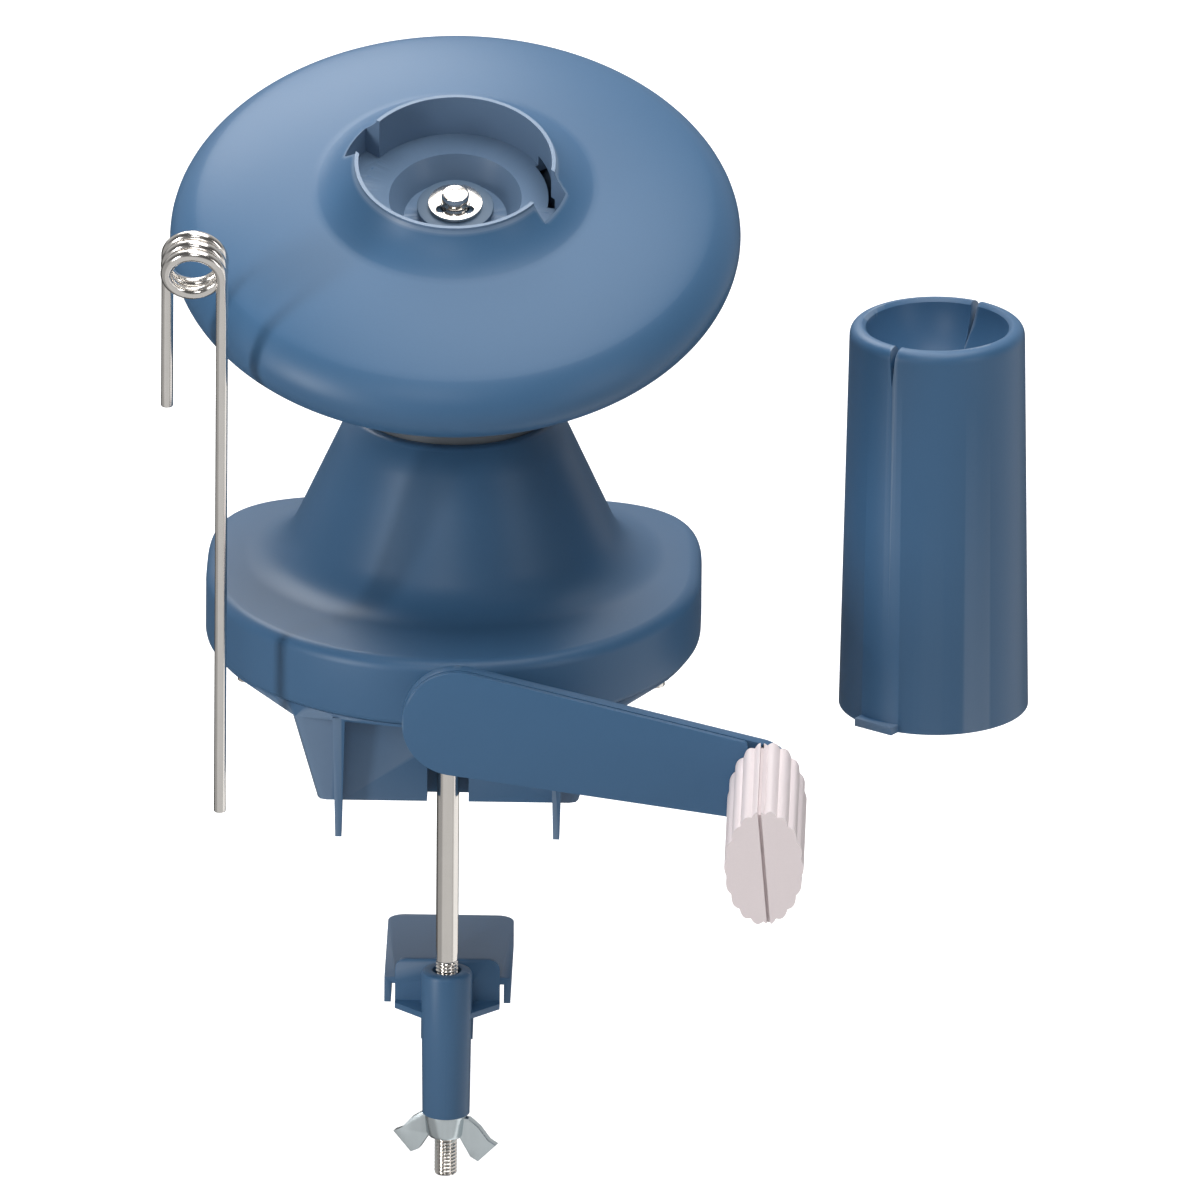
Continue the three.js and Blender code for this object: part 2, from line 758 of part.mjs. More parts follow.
// A stop fin stands in front of the foot and reaches below the seat, where it meets the table's edge.
function stopFin(x) {
  const corners = [];
  const back = -footFrontFace + footWall / 2;
  const faces = [
    [stopFinTopThickness / 2, stopFinDepth, plateTop - plateRim],
    [stopFinTipThickness / 2, stopFinTipDepth, -stopFinDrop],
  ];
  for (const [half, depth, height] of faces) {
    for (const side of [-half, half]) {
      corners.push(new THREE.Vector3(x + side, back, height));
      corners.push(new THREE.Vector3(x + side, -footFrontFace - depth, height));
    }
  }
  const behind = block(x - stopFinTopThickness, x + stopFinTopThickness, -footFrontFace,
    -footFrontFace + overrun, -stopFinDrop - overrun, 0);
  return cut(new ConvexGeometry(corners), behind);
}

function hexagon(acrossFlats, low, high) {
  const outline = [];
  const corner = acrossFlats / Math.sqrt(3);
  for (let i = 0; i < 6; i++) {
    const angle = (i * Math.PI) / 3;
    outline.push([corner * Math.cos(angle), corner * Math.sin(angle)]);
  }
  return plate(outline, low, high);
}

// Drive train on the rotor axis

function spurPinion(teeth, height, boreRadius) {
  const low = height - pinionWidth / 2;
  const high = height + pinionWidth / 2;
  return cut(plate(pinionOutline(teeth), low, high), rod(boreRadius, low - overrun, high + overrun));
}

const conePitch = (radius) => radius * Math.tan(tilt / 2);

// The sun gear's teeth lie on a low hill whose peak is the crossing of the two axes.
function sunBevelGear() {
  const base = crossingHeight - conePitch(bevelOuterRadius) - sunBodyDepth;
  const teeth = toothedRing({
    teeth: bevelTeeth,
    inner: bevelInnerRadius,
    outer: bevelOuterRadius,
    base,
    rise: (radius) => crossingHeight - conePitch(radius),
    direction: 1,
    addendum: bevelAddendum,
    dedendum: bevelDedendum,
    tipShare: bevelTipShare,
    rootShare: bevelRootShare,
    gapAngle: -Math.PI / 2 + Math.PI / bevelTeeth,
  });
  const hub = turned([
    [driveShaftRadius + seatGap, sunHubLow],
    [sunHubRadius, sunHubLow],
    [sunHubRadius, sunHubTop - sunWebThickness],
    [bevelInnerRadius + seatGap, sunHubTop - sunWebThickness],
    [bevelInnerRadius + seatGap, sunHubTop],
    [driveShaftRadius + seatGap, sunHubTop],
  ]);
  return join(teeth, hub);
}

function rotorHead() {
  const sleeveEnd = rotorPinionHeight - pinionWidth / 2 - sleeveEndMargin;
  const backRise = crossingHeight + rotorHeadRadius;
  const cup = turned([
    [driveShaftRadius + runningGap, sleeveEnd],
    [rotorSleeveRadius, sleeveEnd],
    [rotorSleeveRadius, rotorFloorBottom],
    [rotorHeadRadius, rotorFloorBottom],
    [rotorHeadRadius, backRise],
    [rotorHeadRadius - rotorWall, backRise],
    [rotorHeadRadius - rotorWall, rotorFloorTop],
    [driveShaftRadius + runningGap, rotorFloorTop],
  ], middlingSides);
  const tipUp = (geometry) => geometry.rotateX(tilt).translate(0, 0, crossingHeight);
  const wide = 3 * rotorHeadRadius;
  const above = tipUp(block(-wide, wide, -wide, wide, rotorRimLift, wide));
  const bracketLow = bracketTopLift - bracketThickness;
  const bracket = tipUp(block(-bracketHalfWidth, bracketHalfWidth, 0, wide, bracketLow, bracketTopLift));
  const eye = tipUp(rod(bracketHalfWidth, bracketLow, bracketTopLift));
  const socket = tipUp(rod(arborSocketRadius, bracketLow, arborSocketLift));
  const bore = tipUp(rod(arborRadius + seatGap, -arborFootDrop - faceGap, arborSocketLift + overrun));
  const within = rod(rotorHeadRadius - rotorWall / 2, rotorFloorTop, backRise + wide, middlingSides);
  return cut(join(cut(cup, above), asSolid(bracket).intersect(asSolid(within)), eye, socket), bore);
}

// Pieces on the tilted axis, made about their own Z axis with the crossing as zero

function discGear() {
  const teeth = toothedRing({
    teeth: bevelTeeth,
    inner: bevelInnerRadius,
    outer: bevelOuterRadius,
    base: discGearBodyLift,
    rise: conePitch,
    direction: -1,
    addendum: bevelAddendum,
    dedendum: bevelDedendum,
    tipShare: bevelTipShare,
    rootShare: bevelRootShare,
    gapAngle: -Math.PI / 2,
  });
  const low = discGearBodyLift - discGearWebThickness;
  const hub = turned([
    [hubRadius + seatGap, low],
    [bevelInnerRadius + seatGap, low],
    [bevelInnerRadius + seatGap, discGearBodyLift],
    [hubRadius + seatGap + discGearHubWall, discGearBodyLift],
    [hubRadius + seatGap + discGearHubWall, discGearHubLift],
    [hubRadius + seatGap, discGearHubLift],
  ]);
  return join(teeth, hub);
}

function arbor() {
  const grooveLow = clipLift - clipGrooveMargin;
  const grooveHigh = clipLift + clipThickness + clipGrooveMargin;
  return turned([
    [0, -arborFootDrop],
    [arborRadius, -arborFootDrop],
    [arborRadius, grooveLow],
    [arborRadius - clipGrooveDepth, grooveLow],
    [arborRadius - clipGrooveDepth, grooveHigh],
    [arborRadius, grooveHigh],
    [arborRadius, arborTipLift - arborTipChamfer],
    [arborRadius - arborTipChamfer, arborTipLift],
    [0, arborTipLift],
  ]);
}

// The clip is an open ring, closed towards the crank side, with its mouth behind and two windows in its bore.
function retainingClip() {
  const top = clipLift + clipThickness;
  const ring = tube(arborRadius - clipGrooveDepth + clipGrooveMargin, clipRadius, clipLift, top);
  const mouth = block(-clipMouthWidth / 2, clipMouthWidth / 2, 0, clipRadius + overrun,
    clipLift - overrun, top + overrun);
  const windows = [-1, 1].map((side) => {
    const angle = THREE.MathUtils.degToRad(-90 + side * clipWindowSpread);
    return rod(clipWindowRadius, clipLift - overrun, top + overrun, smallSides)
      .translate(clipWindowOffset * Math.cos(angle), clipWindowOffset * Math.sin(angle), 0);
  });
  return cut(ring, mouth, ...windows);
}

function domeLift(radius) {
  return discRimLift + domeHeight * Math.sqrt(1 - (radius / domeReach) ** 2);
}

function windingDisc() {
  const collarInner = collarOuterRadius - collarWall;
  const flareStep = collarRise * flareStepShare;
  const lipLift = discRimLift - discLipDepth;
  const innerRim = discRimRadius - discWall;
  const flare = quadraticPoints([collarOuterRadius, collarTopLift - flareStep],
    [collarOuterRadius + collarFlareReach, domeLift(flareRadius) + collarFlareLift],
    [flareRadius, domeLift(flareRadius)], 3);
  const domeSteps = 4;
  const dome = [];
  for (let i = 1; i <= domeSteps; i++) {
    const radius = flareRadius + ((domeEdgeRadius - flareRadius) * i) / domeSteps;
    dome.push([radius, domeLift(radius)]);
  }
  const edgeLift = domeLift(domeEdgeRadius);
  const rim = cubicPoints([domeEdgeRadius, edgeLift], [domeEdgeRadius + discWall, edgeLift - discWall / 2],
    [discRimRadius, discRimLift + 2 * discWall], [discRimRadius, discRimLift], 3).slice(1);
  const lip = cubicPoints([discRimRadius, discRimLift], [discRimRadius, discRimLift - discLipDepth / 2],
    [discLipRadius + discWall, lipLift], [discLipRadius, lipLift], 3).slice(1);
  const under = [
    [discLipRadius, lipLift + discWall],
    [innerRim, discRimLift - discLipDepth / 3],
    [innerRim, discRimLift + discWall],
    [domeEdgeRadius, domeLift(domeEdgeRadius) - discWall],
    [(domeEdgeRadius + flareRadius) / 2, domeLift((domeEdgeRadius + flareRadius) / 2) - discWall],
    [flareRadius, domeLift(flareRadius) - discWall],
  ];
  const skirtInner = skirtFootRadius - skirtWall;
  const floorUnderside = collarFloorLift - collarFloorThickness;
  const profile = [
    [hubBoreRadius, hubFootLift],
    [hubBoreRadius, hubBossTopLift],
    [hubBossRadius, hubBossTopLift],
    [hubBossRadius, wellFloorLift],
    [wellFloorRadius, wellFloorLift],
    [wellRadius, collarFloorLift],
    [collarInner, collarFloorLift],
    [collarInner, collarTopLift],
    [collarOuterRadius, collarTopLift],
    ...flare,
    ...dome,
    ...rim,
    ...lip,
    ...under,
    [skirtTopRadius, discRimLift + collarRise / 2],
    [skirtFootRadius, skirtFootLift],
    [skirtInner, skirtFootLift],
    [skirtTopRadius - skirtWall, floorUnderside],
    [wellRadius + wellWall, floorUnderside],
    [wellFloorRadius + wellWall, wellFloorLift - wellWall],
    [hubRadius, wellFloorLift - wellWall],
    [hubRadius, hubFootLift],
  ];
  const cuts = [];
  for (const turn of [0, 180]) {
    cuts.push(plate(pocketOutline(turn), collarFloorLift, collarTopLift + overrun));
    cuts.push(plate(sectorOutline(trackInnerRadius, trackOuterRadius, trackStartDegrees + turn,
      trackSpanDegrees), floorUnderside - overrun, collarFloorLift + trackHeight));
  }
  return cut(turned(profile, fineSides), ...cuts);
}

// A bayonet pocket: the collar steps out to the pocket radius, over a short ramp at one end.
function pocketOutline(turn) {
  const inner = collarOuterRadius - 2 * collarWall;
  const outline = sectorOutline(inner, pocketRadius, pocketStartDegrees + turn,
    pocketSpanDegrees - pocketRampDegrees);
  const rampEnd = THREE.MathUtils.degToRad(pocketStartDegrees + turn + pocketSpanDegrees);
  const corner = [inner * Math.cos(rampEnd), inner * Math.sin(rampEnd)];
  const middle = outline.length / 2;
  return [...outline.slice(0, middle), corner, ...outline.slice(middle)];
}

// Crank pieces, made about the crank axis with Z as the distance towards the user

function crownWheel() {
  const outerFace = rotorPinionRadius;
  const innerFace = drivePinionRadius;
  const outerRoot = outerFace + toothDedendum;
  const innerRoot = innerFace + toothDedendum;
  const back = outerRoot + crownWebThickness;
  const ring = (teeth, radius, face) => toothedRing({
    teeth,
    inner: radius - ringFaceWidth / 2,
    outer: radius + ringFaceWidth / 2,
    base: face + toothDedendum + gearModule,
    rise: () => face,
    direction: -1,
    addendum: toothAddendum,
    dedendum: toothDedendum,
    tipShare: ringTipShare,
    rootShare: ringRootShare,
    gapAngle: Math.PI / 2,
  });
  const step = innerRingRadius + ringFaceWidth / 2 + crownRimMargin;
  const web = turned([
    [crankShaftRadius + seatGap, innerRoot],
    [step, innerRoot],
    [step, outerRoot],
    [crownRimRadius, outerRoot],
    [crownRimRadius, back],
    [crownHubRadius, back],
    [crownHubRadius, back + crownHubLength],
    [crankShaftRadius + seatGap, back + crownHubLength],
  ], fineSides);
  return join(web, ring(outerRingTeeth, outerRingRadius, outerFace),
    ring(innerRingTeeth, innerRingRadius, innerFace));
}

// The arm's outline is a round eye and a smaller round tip joined by straight edges.
function armOutline() {
  const shape = new THREE.Shape();
  const top = Math.PI / 2 - armTaper;
  shape.absarc(armEyeOffset, 0, armEyeRadius, top, 2 * Math.PI - top);
  shape.absarc(armTipReach, 0, armTipRadius, -top, top);
  return shape;
}

// The cover has the arm's eye and edges, but it ends square, beside the grip.
function coverOutline() {
  const shape = new THREE.Shape();
  const top = Math.PI / 2 - armTaper;
  const narrowing = (coverReach - armEyeOffset) * Math.sin(armTaper);
  const halfEnd = (armEyeRadius - narrowing) / Math.cos(armTaper);
  shape.absarc(armEyeOffset, 0, armEyeRadius, top, 2 * Math.PI - top);
  shape.absarc(coverReach - coverCorner, coverCorner - halfEnd, coverCorner, -top, 0);
  shape.absarc(coverReach - coverCorner, halfEnd - coverCorner, coverCorner, 0, top);
  return shape;
}

const polarPlace = (distance, degrees) => {
  const angle = THREE.MathUtils.degToRad(degrees);
  return [distance * Math.cos(angle), distance * Math.sin(angle), 0];
};
const gripPlace = polarPlace(crankReach, crankDroopDegrees);
const alongArm = (distance) => polarPlace(distance, armLeanDegrees);
const lieAlongArm = (made) => made.rotateZ(THREE.MathUtils.degToRad(armLeanDegrees));

function crankArm() {
  const body = lieAlongArm(plate(armOutline(), armBackSetback, armFront, 10));
  const boss = rod(armBossRadius, armBossBack, armBackSetback + armThickness / 2);
  const shaftHole = rod(crankShaftRadius + seatGap, 0, armFront + overrun);
  const recess = rod(crankScrewHeadRadius + seatGap, armFront - armRecessDepth, armFront + overrun);
  const pinHole = rod(gripPinRadius + seatGap, 0, armFront + overrun, smallSides).translate(...gripPlace);
  const pegHoles = [coverPegNear, coverPegFar].map((distance) =>
    rod(coverPegRadius + seatGap, armFront - coverPegLength, armFront + overrun, smallSides)
      .translate(...alongArm(distance)));
  return cut(join(body, boss), shaftHole, recess, pinHole, ...pegHoles);
}

function crankCover() {
  const face = lieAlongArm(plate(coverOutline(), coverBack, coverFront, 10));
  const pegs = [coverPegNear, coverPegFar].map((distance) =>
    rod(coverPegRadius, armFront - coverPegLength + faceGap, coverBack + coverThickness / 2, smallSides)
      .translate(...alongArm(distance)));
  return join(face, ...pegs);
}

// The grip is a fluted oval with a slit along its top and down its end face.
function grip() {
  const outline = [];
  const steps = gripFlutes * gripFluteSteps;
  for (let i = 0; i < steps; i++) {
    const angle = (2 * Math.PI * i) / steps;
    const bump = Math.abs(Math.cos((gripFlutes * angle) / 2));
    const size = 1 - gripFluteShare * (1 - bump);
    outline.push([(gripWidth / 2) * size * Math.cos(angle), (gripHeight / 2) * size * Math.sin(angle)]);
  }
  const low = coverFront + runningGap;
  const high = low + gripLength;
  const body = plate(outline, low, high);
  const bore = rod(gripPinRadius + runningGap, low - overrun, high - gripEndThickness, smallSides);
  const chamber = rod(gripPinHeadRadius + runningGap, high - gripEndThickness - gripChamberLength,
    high - gripEndThickness, smallSides);
  const lean = THREE.MathUtils.degToRad(gripSlitLeanDegrees);
  const half = gripSlitWidth / 2;
  const topSlit = block(-half, half, gripHeight / 2 - gripSlitDepth, gripHeight, low - overrun,
    high + overrun).rotateZ(lean);
  const endSlit = block(-half, half, -gripHeight, gripHeight, high - gripSlitDepth, high + overrun)
    .rotateZ(lean);
  return asGeometry(cut(body, bore, chamber, topSlit, endSlit)).translate(...gripPlace);
}

function gripPin() {
  const low = armBackSetback;
  const headLow = coverFront + runningGap + gripLength - gripEndThickness - gripChamberLength + faceGap;
  return turned([
    [0, low],
    [gripPinRadius, low],
    [gripPinRadius, headLow],
    [gripPinHeadRadius, headLow],
    [gripPinHeadRadius, headLow + gripPinHeadLength],
    [0, headLow + gripPinHeadLength],
  ], smallSides).translate(...gripPlace);
}

function crankScrew() {
  const seat = armFront - armRecessDepth + faceGap;
  return turned([
    [0, seat - crankScrewLength],
    [crankScrewRadius, seat - crankScrewLength],
    [crankScrewRadius, seat],
    [crankScrewHeadRadius, seat],
    [crankScrewHeadRadius, seat + crankScrewHeadThickness],
    [0, seat + crankScrewHeadThickness],
  ], smallSides);
}

function crankShaft() {
  const high = armFront - armRecessDepth;
  return turned([
    [0, crankShaftSetback],
    [crankShaftRadius, crankShaftSetback],
    [crankShaftRadius, high],
    [crankScrewRadius + seatGap, high],
    [crankScrewRadius + seatGap, high - crankScrewLength - overrun],
    [0, high - crankScrewLength - overrun],
  ]);
}

// Clamp pieces, made about the rod's axis with the seat plane as zero

function clampRod() {
  return turned([
    [0, -rodEnd],
    [rodRadius - rodChamfer, -rodEnd],
    [rodRadius, -rodEnd + rodChamfer],
    [rodRadius, rodTop],
    [0, rodTop],
  ]);
}

function clampJaw() {
  const post = turned([
    [jawBoreRadius, -jawBottom],
    [jawBottomRadius, -jawBottom],
    [jawTopRadius, -jawTop - jawEdge],
    [jawTopRadius - jawEdge / 3, -jawTop - jawEdge / 3],
    [jawTopRadius - jawEdge, -jawTop],
    [jawBoreRadius, -jawTop],
  ]);
  const wallShape = roundedRectangle(stopWallWidth / 2, -jawTop - stopWallHeight, -jawTop, 0, stopWallCorner);
  const wallPlate = plate(wallShape, 0, stopWallThickness).rotateX(Math.PI / 2);
  const wall = wallPlate.translate(0, stopWallSetback + stopWallThickness, 0);
  const gussetLow = -jawTop - stopWallHeight;
  const gusset = plate([
    [-stopWallWidth / 2, stopWallSetback + stopWallThickness / 2],
    [-stopWallWidth / 2, stopWallSetback - gussetFrontReach],
    [-gussetFrontHalfWidth, -gussetFrontReach],
    [gussetFrontHalfWidth, -gussetFrontReach],
    [stopWallWidth / 2, stopWallSetback - gussetFrontReach],
    [stopWallWidth / 2, stopWallSetback + stopWallThickness / 2],
  ], gussetLow, gussetLow + gussetThickness);
  const tray = roundedRectangle(padHalfWidth, stopWallSetback, stopWallSetback + padLength, 0, padCorner);
  const hollow = roundedRectangle(padHalfWidth - padThickness, stopWallSetback - overrun,
    stopWallSetback + padLength - padThickness, 0, padCorner - padThickness);
  const pad = cut(plate(tray, -padDrop - padThickness - padSkirtDepth, -padDrop),
    plate(hollow, -padDrop - padThickness - padSkirtDepth - overrun, -padDrop - padThickness));
  const ribs = [-ribOffset, ribOffset].map((x) => {
    const outline = [
      [jawBoreRadius + ribThickness, -padDrop - padThickness / 2],
      [stopWallSetback + padLength * ribReachShare, -padDrop - padThickness / 2],
      [stopWallSetback + padLength * ribReachShare, -padDrop - padThickness - ribThickness],
      [jawBottomRadius - ribThickness, -padDrop - padSkirtDepth - ribDepth],
    ];
    return plate(outline, -ribThickness / 2, ribThickness / 2)
      .rotateZ(Math.PI / 2).rotateY(Math.PI / 2).translate(x, 0, 0);
  });
  const bore = rod(jawBoreRadius, -jawBottom - overrun, -jawTop + overrun);
  return cut(join(post, wall, gusset, pad, ...ribs), bore);
}

function wingNut() {
  const top = -jawBottom - faceGap;
  const hub = tube(rodRadius + runningGap, wingHubRadius, top - wingHubLength, top);
  const wings = [1, -1].map((side) => {
    const outline = [
      [side * (rodRadius + wingThickness / 2), top - wingThickness / 4],
      [side * (wingHubRadius + wingThickness / 2), top - wingThickness / 4],
      [side * (wingSpan / 2 - wingThickness), top - wingTipDrop + wingThickness / 2],
      [side * (wingSpan / 2), top - wingTipDrop],
      [side * wingLowReach, top - wingLowDrop],
      [side * (wingLowReach - wingThickness), top - wingLowDrop + wingThickness / 2],
      [side * (rodRadius + wingThickness / 2), top - wingHubLength + wingThickness / 4],
    ];
    return plate(outline, -wingThickness / 2, wingThickness / 2).rotateX(Math.PI / 2);
  });
  const bore = rod(rodRadius + runningGap, top - wingLowDrop, top + overrun);
  return asGeometry(cut(join(hub, ...wings), bore)).rotateZ(THREE.MathUtils.degToRad(wingTurnDegrees));
}

// Base screw, driven up through the bottom plate into a pillar of the shell
function baseScrew([x, y]) {
  const seat = plateBottom - seatGap - faceGap;
  return turned([
    [0, seat - screwHeadThickness],
    [screwHeadRadius, seat - screwHeadThickness],
    [screwHeadRadius, seat],
    [screwRadius, seat],
    [screwRadius, seat + screwLength],
    [0, seat + screwLength],
  ], smallSides).translate(x, y, 0);
}

// Bobbin: a tapered tube with a rolled rim, a closed bowl in its top, slits that hold the yarn, and two tabs.
function bobbin() {
  const top = bobbinHeight;
  const edge = quadraticPoints([bobbinTopRadius, top - bobbinEdge], [bobbinTopRadius, top],
    [bobbinTopRadius - bobbinEdge, top], 4);
  const bowl = cubicPoints([bobbinMouthRadius, top - bobbinEdge / 4],
    [bobbinMouthRadius * bobbinBowlShare, top - bobbinBowlDepth / 2],
    [bobbinMouthRadius / 2, top - bobbinBowlDepth], [0, top - bobbinBowlDepth], 6);
  const underBowl = cubicPoints([0, top - bobbinBowlDepth - bobbinWall],
    [bobbinMouthRadius / 2, top - bobbinBowlDepth - bobbinWall],
    [bobbinMouthRadius * bobbinBowlShare - bobbinWall / 2, top - bobbinBowlDepth / 2 - bobbinWall],
    [bobbinTopRadius - bobbinWall, top - bobbinBowlDepth / 3], 4);
  const body = turned([
    ...underBowl,
    [bobbinFootRadius - bobbinWall, 0],
    [bobbinFootRadius, 0],
    ...edge,
    ...bowl,
  ], middlingSides);
  const slits = [bobbinSlitDegrees, bobbinSlitDegrees + 180].map((degrees) => {
    const wedge = plate([
      [-bobbinSlitWidth / 2, top + overrun],
      [0, top - bobbinSlitDepth],
      [bobbinSlitWidth / 2, top + overrun],
    ], bobbinMouthRadius / 2, bobbinTopRadius + overrun);
    return wedge.rotateX(Math.PI / 2).rotateZ(THREE.MathUtils.degToRad(degrees + 90));
  });
  const tabs = [bobbinTabDegrees, bobbinTabDegrees + 180].map((degrees) => {
    const tab = block(bobbinFootRadius - bobbinWall / 2, bobbinFootRadius + bobbinTabReach,
      -bobbinTabWidth / 2, bobbinTabWidth / 2, 0, bobbinTabThickness);
    return tab.rotateZ(THREE.MathUtils.degToRad(degrees));
  });
  return asGeometry(join(cut(body, ...slits), ...tabs)).translate(bobbinX, bobbinY, 0);
}

// Route of the guide's wire: up the long leg, round the coil, each turn behind the last, and down again.
// The coil is tilted, so that its mouth faces the yarn, and each leg bends upright a little below it.
class GuideRoute extends THREE.Curve {
  constructor() {
    super();
    this.coilTilt = THREE.MathUtils.degToRad(coilTiltDegrees);
    this.longLeg = coilCentreHeight - legBend * Math.cos(this.coilTilt);
    this.coilLength = coilTurns * Math.hypot(2 * Math.PI * coilRadius, coilPitch);
    this.coilStart = this.longLeg + legBend;
    this.coilEnd = this.coilStart + this.coilLength;
    this.shortLegStart = this.coilEnd + legBend;
    const shortLegTop = coilCentreHeight + coilTurns * coilPitch * Math.sin(this.coilTilt)
      - legBend * Math.cos(this.coilTilt);
    this.shortLeg = shortLegTop - guideShortLegEnd;
    this.whole = this.shortLegStart + this.shortLeg;
  }

  // A place on the tilted coil: sideways from its axis, up its own plane, and back along its axis.
  onCoil(target, aside, above, behind) {
    const start = -guideSetback - legBend * Math.sin(this.coilTilt);
    const back = behind * Math.cos(this.coilTilt) - above * Math.sin(this.coilTilt);
    const rise = behind * Math.sin(this.coilTilt) + above * Math.cos(this.coilTilt);
    return target.set(guideX + aside, start + back, coilCentreHeight + rise);
  }

  getPoint(share, target = new THREE.Vector3()) {
    const along = share * this.whole;
    if (along <= this.longLeg) return target.set(guideX + coilRadius, -guideSetback, along);
    if (along <= this.coilStart) return this.onCoil(target, coilRadius, along - this.coilStart, 0);
    if (along >= this.shortLegStart) {
      this.onCoil(target, -coilRadius, -legBend, coilTurns * coilPitch);
      target.z -= along - this.shortLegStart;
      return target;
    }
    if (along >= this.coilEnd) {
      return this.onCoil(target, -coilRadius, this.coilEnd - along, coilTurns * coilPitch);
    }
    const turns = (coilTurns * (along - this.coilStart)) / this.coilLength;
    const angle = 2 * Math.PI * turns;
    return this.onCoil(target, coilRadius * Math.cos(angle), coilRadius * Math.sin(angle), coilPitch * turns);
  }
}

// The tube is built ring by ring, so that the legs take few steps and the coil takes an even number a turn.
function yarnGuide() {
  const route = new GuideRoute();
  const stations = [];
  for (let i = 0; i <= legSteps; i++) stations.push((route.longLeg * i) / legSteps);
  const coilCount = coilTurns * coilSteps;
  for (let i = 0; i <= coilCount; i++) stations.push(route.coilStart + (route.coilLength * i) / coilCount);
  for (let i = 0; i <= legSteps; i++) stations.push(route.shortLegStart + (route.shortLeg * i) / legSteps);
  const positions = [];
  const step = wireRadius / route.whole;
  for (const along of stations) {
    const share = along / route.whole;
    const here = route.getPoint(share);
    const ahead = route.getPoint(Math.min(1, share + step));
    const behind = route.getPoint(Math.max(0, share - step));
    const heading = ahead.sub(behind).normalize();
    const sideways = new THREE.Vector3(0, 1, 0);
    sideways.addScaledVector(heading, -sideways.dot(heading)).normalize();
    const outward = new THREE.Vector3().crossVectors(heading, sideways);
    for (let k = 0; k < wireSides; k++) {
      const angle = (2 * Math.PI * k) / wireSides;
      const corner = here.clone();
      corner.addScaledVector(sideways, wireRadius * Math.cos(angle));
      corner.addScaledVector(outward, wireRadius * Math.sin(angle));
      positions.push(corner.x, corner.y, corner.z);
    }
  }
  const index = [];
  for (let i = 0; i + 1 < stations.length; i++) {
    for (let k = 0; k < wireSides; k++) {
      const after = (k + 1) % wireSides;
      const [a, b] = [i * wireSides + k, i * wireSides + after];
      index.push(a, b, b + wireSides, a, b + wireSides, a + wireSides);
    }
  }
  const end = (stations.length - 1) * wireSides;
  for (let k = 1; k + 1 < wireSides; k++) {
    index.push(0, k + 1, k);
    index.push(end, end + k, end + k + 1);
  }
  const geometry = new THREE.BufferGeometry();
  geometry.setAttribute("position", new THREE.Float32BufferAttribute(positions, 3));
  geometry.setIndex(index);
  return geometry;
}

// The least distance between turns and legs that pass each other, measured on the route's own points.
function leastTurnGap() {
  const route = new GuideRoute();
  const points = [];
  const count = Math.ceil(route.whole / (wireRadius / 2));
  for (let i = 0; i <= count; i++) points.push(route.getPoint(i / count));
  let least = Infinity;
  const apart = Math.ceil((count * Math.PI * coilRadius) / route.whole);
  for (let i = 0; i < points.length; i++) {
    for (let j = i + apart; j < points.length; j++) least = Math.min(least, points[i].distanceTo(points[j]));
  }
  return least - 2 * wireRadius;
}

// Materials
const finish = (color, roughness, metalness) =>
  new THREE.MeshStandardMaterial({ color, roughness, metalness });
const slatePlastic = finish(0x4b7192, 0.5, 0);
const darkPlastic = finish(0x1c2731, 0.55, 0);
const whitePlastic = finish(0xdcdad2, 0.45, 0);
const gripPlastic = finish(0xe2d6d6, 0.5, 0);
const brightSteel = finish(0xb9b6b0, 0.25, 1);
const zincPlate = finish(0xa9b6b8, 0.35, 1);

// Assembly on the upright axis
piece("body_shell", bodyShell(), slatePlastic);
piece("base_housing", baseHousing(), slatePlastic);
piece("neck_bearing_ring", flangedBush(rotorSleeveRadius + runningGap, neckBushRadius, neckBushFlangeRadius,
  bearingLow, deckTopHeight + faceGap + neckBushFlangeThickness,
  neckBushFlangeThickness, true), whitePlastic);
piece("foot_bush", tube(driveShaftRadius + runningGap, driveShaftRadius + runningGap + footBushWall,
  footFloorThickness + faceGap, footBossHeight), whitePlastic);
piece("drive_shaft", rod(driveShaftRadius, driveShaftFoot, sunHubTop), brightSteel);
piece("drive_pinion", spurPinion(drivePinionTeeth, drivePinionHeight, driveShaftRadius + seatGap),
  whitePlastic);
piece("sun_bevel_gear", sunBevelGear(), whitePlastic);
piece("rotor_head", rotorHead(), darkPlastic);
piece("rotor_pinion", spurPinion(rotorPinionTeeth, rotorPinionHeight, rotorSleeveRadius + seatGap),
  whitePlastic);
screwPlaces.forEach((place, i) => piece("base_screw_" + (i + 1), baseScrew(place), brightSteel));

// Assembly on the tilted axis
piece("arbor", arbor(), brightSteel, tiltedGroup);
piece("retaining_clip", retainingClip(), brightSteel, tiltedGroup);
piece("upper_hub_bush", flangedBush(arborRadius + runningGap, hubBoreRadius - seatGap, hubBushFlangeRadius,
  clipLift - faceGap - hubBushFlangeThickness - hubBushLength, clipLift - faceGap,
  hubBushFlangeThickness, true), slatePlastic, tiltedGroup);
piece("lower_hub_bush", flangedBush(arborRadius + runningGap, hubBoreRadius - seatGap, hubRadius,
  hubFootLift - faceGap - lowerBushFlangeThickness, hubFootLift + hubBushLength,
  lowerBushFlangeThickness, false), whitePlastic, tiltedGroup);
piece("disc_bevel_gear", discGear(), whitePlastic, tiltedGroup);
piece("winding_disc", windingDisc(), slatePlastic, tiltedGroup);

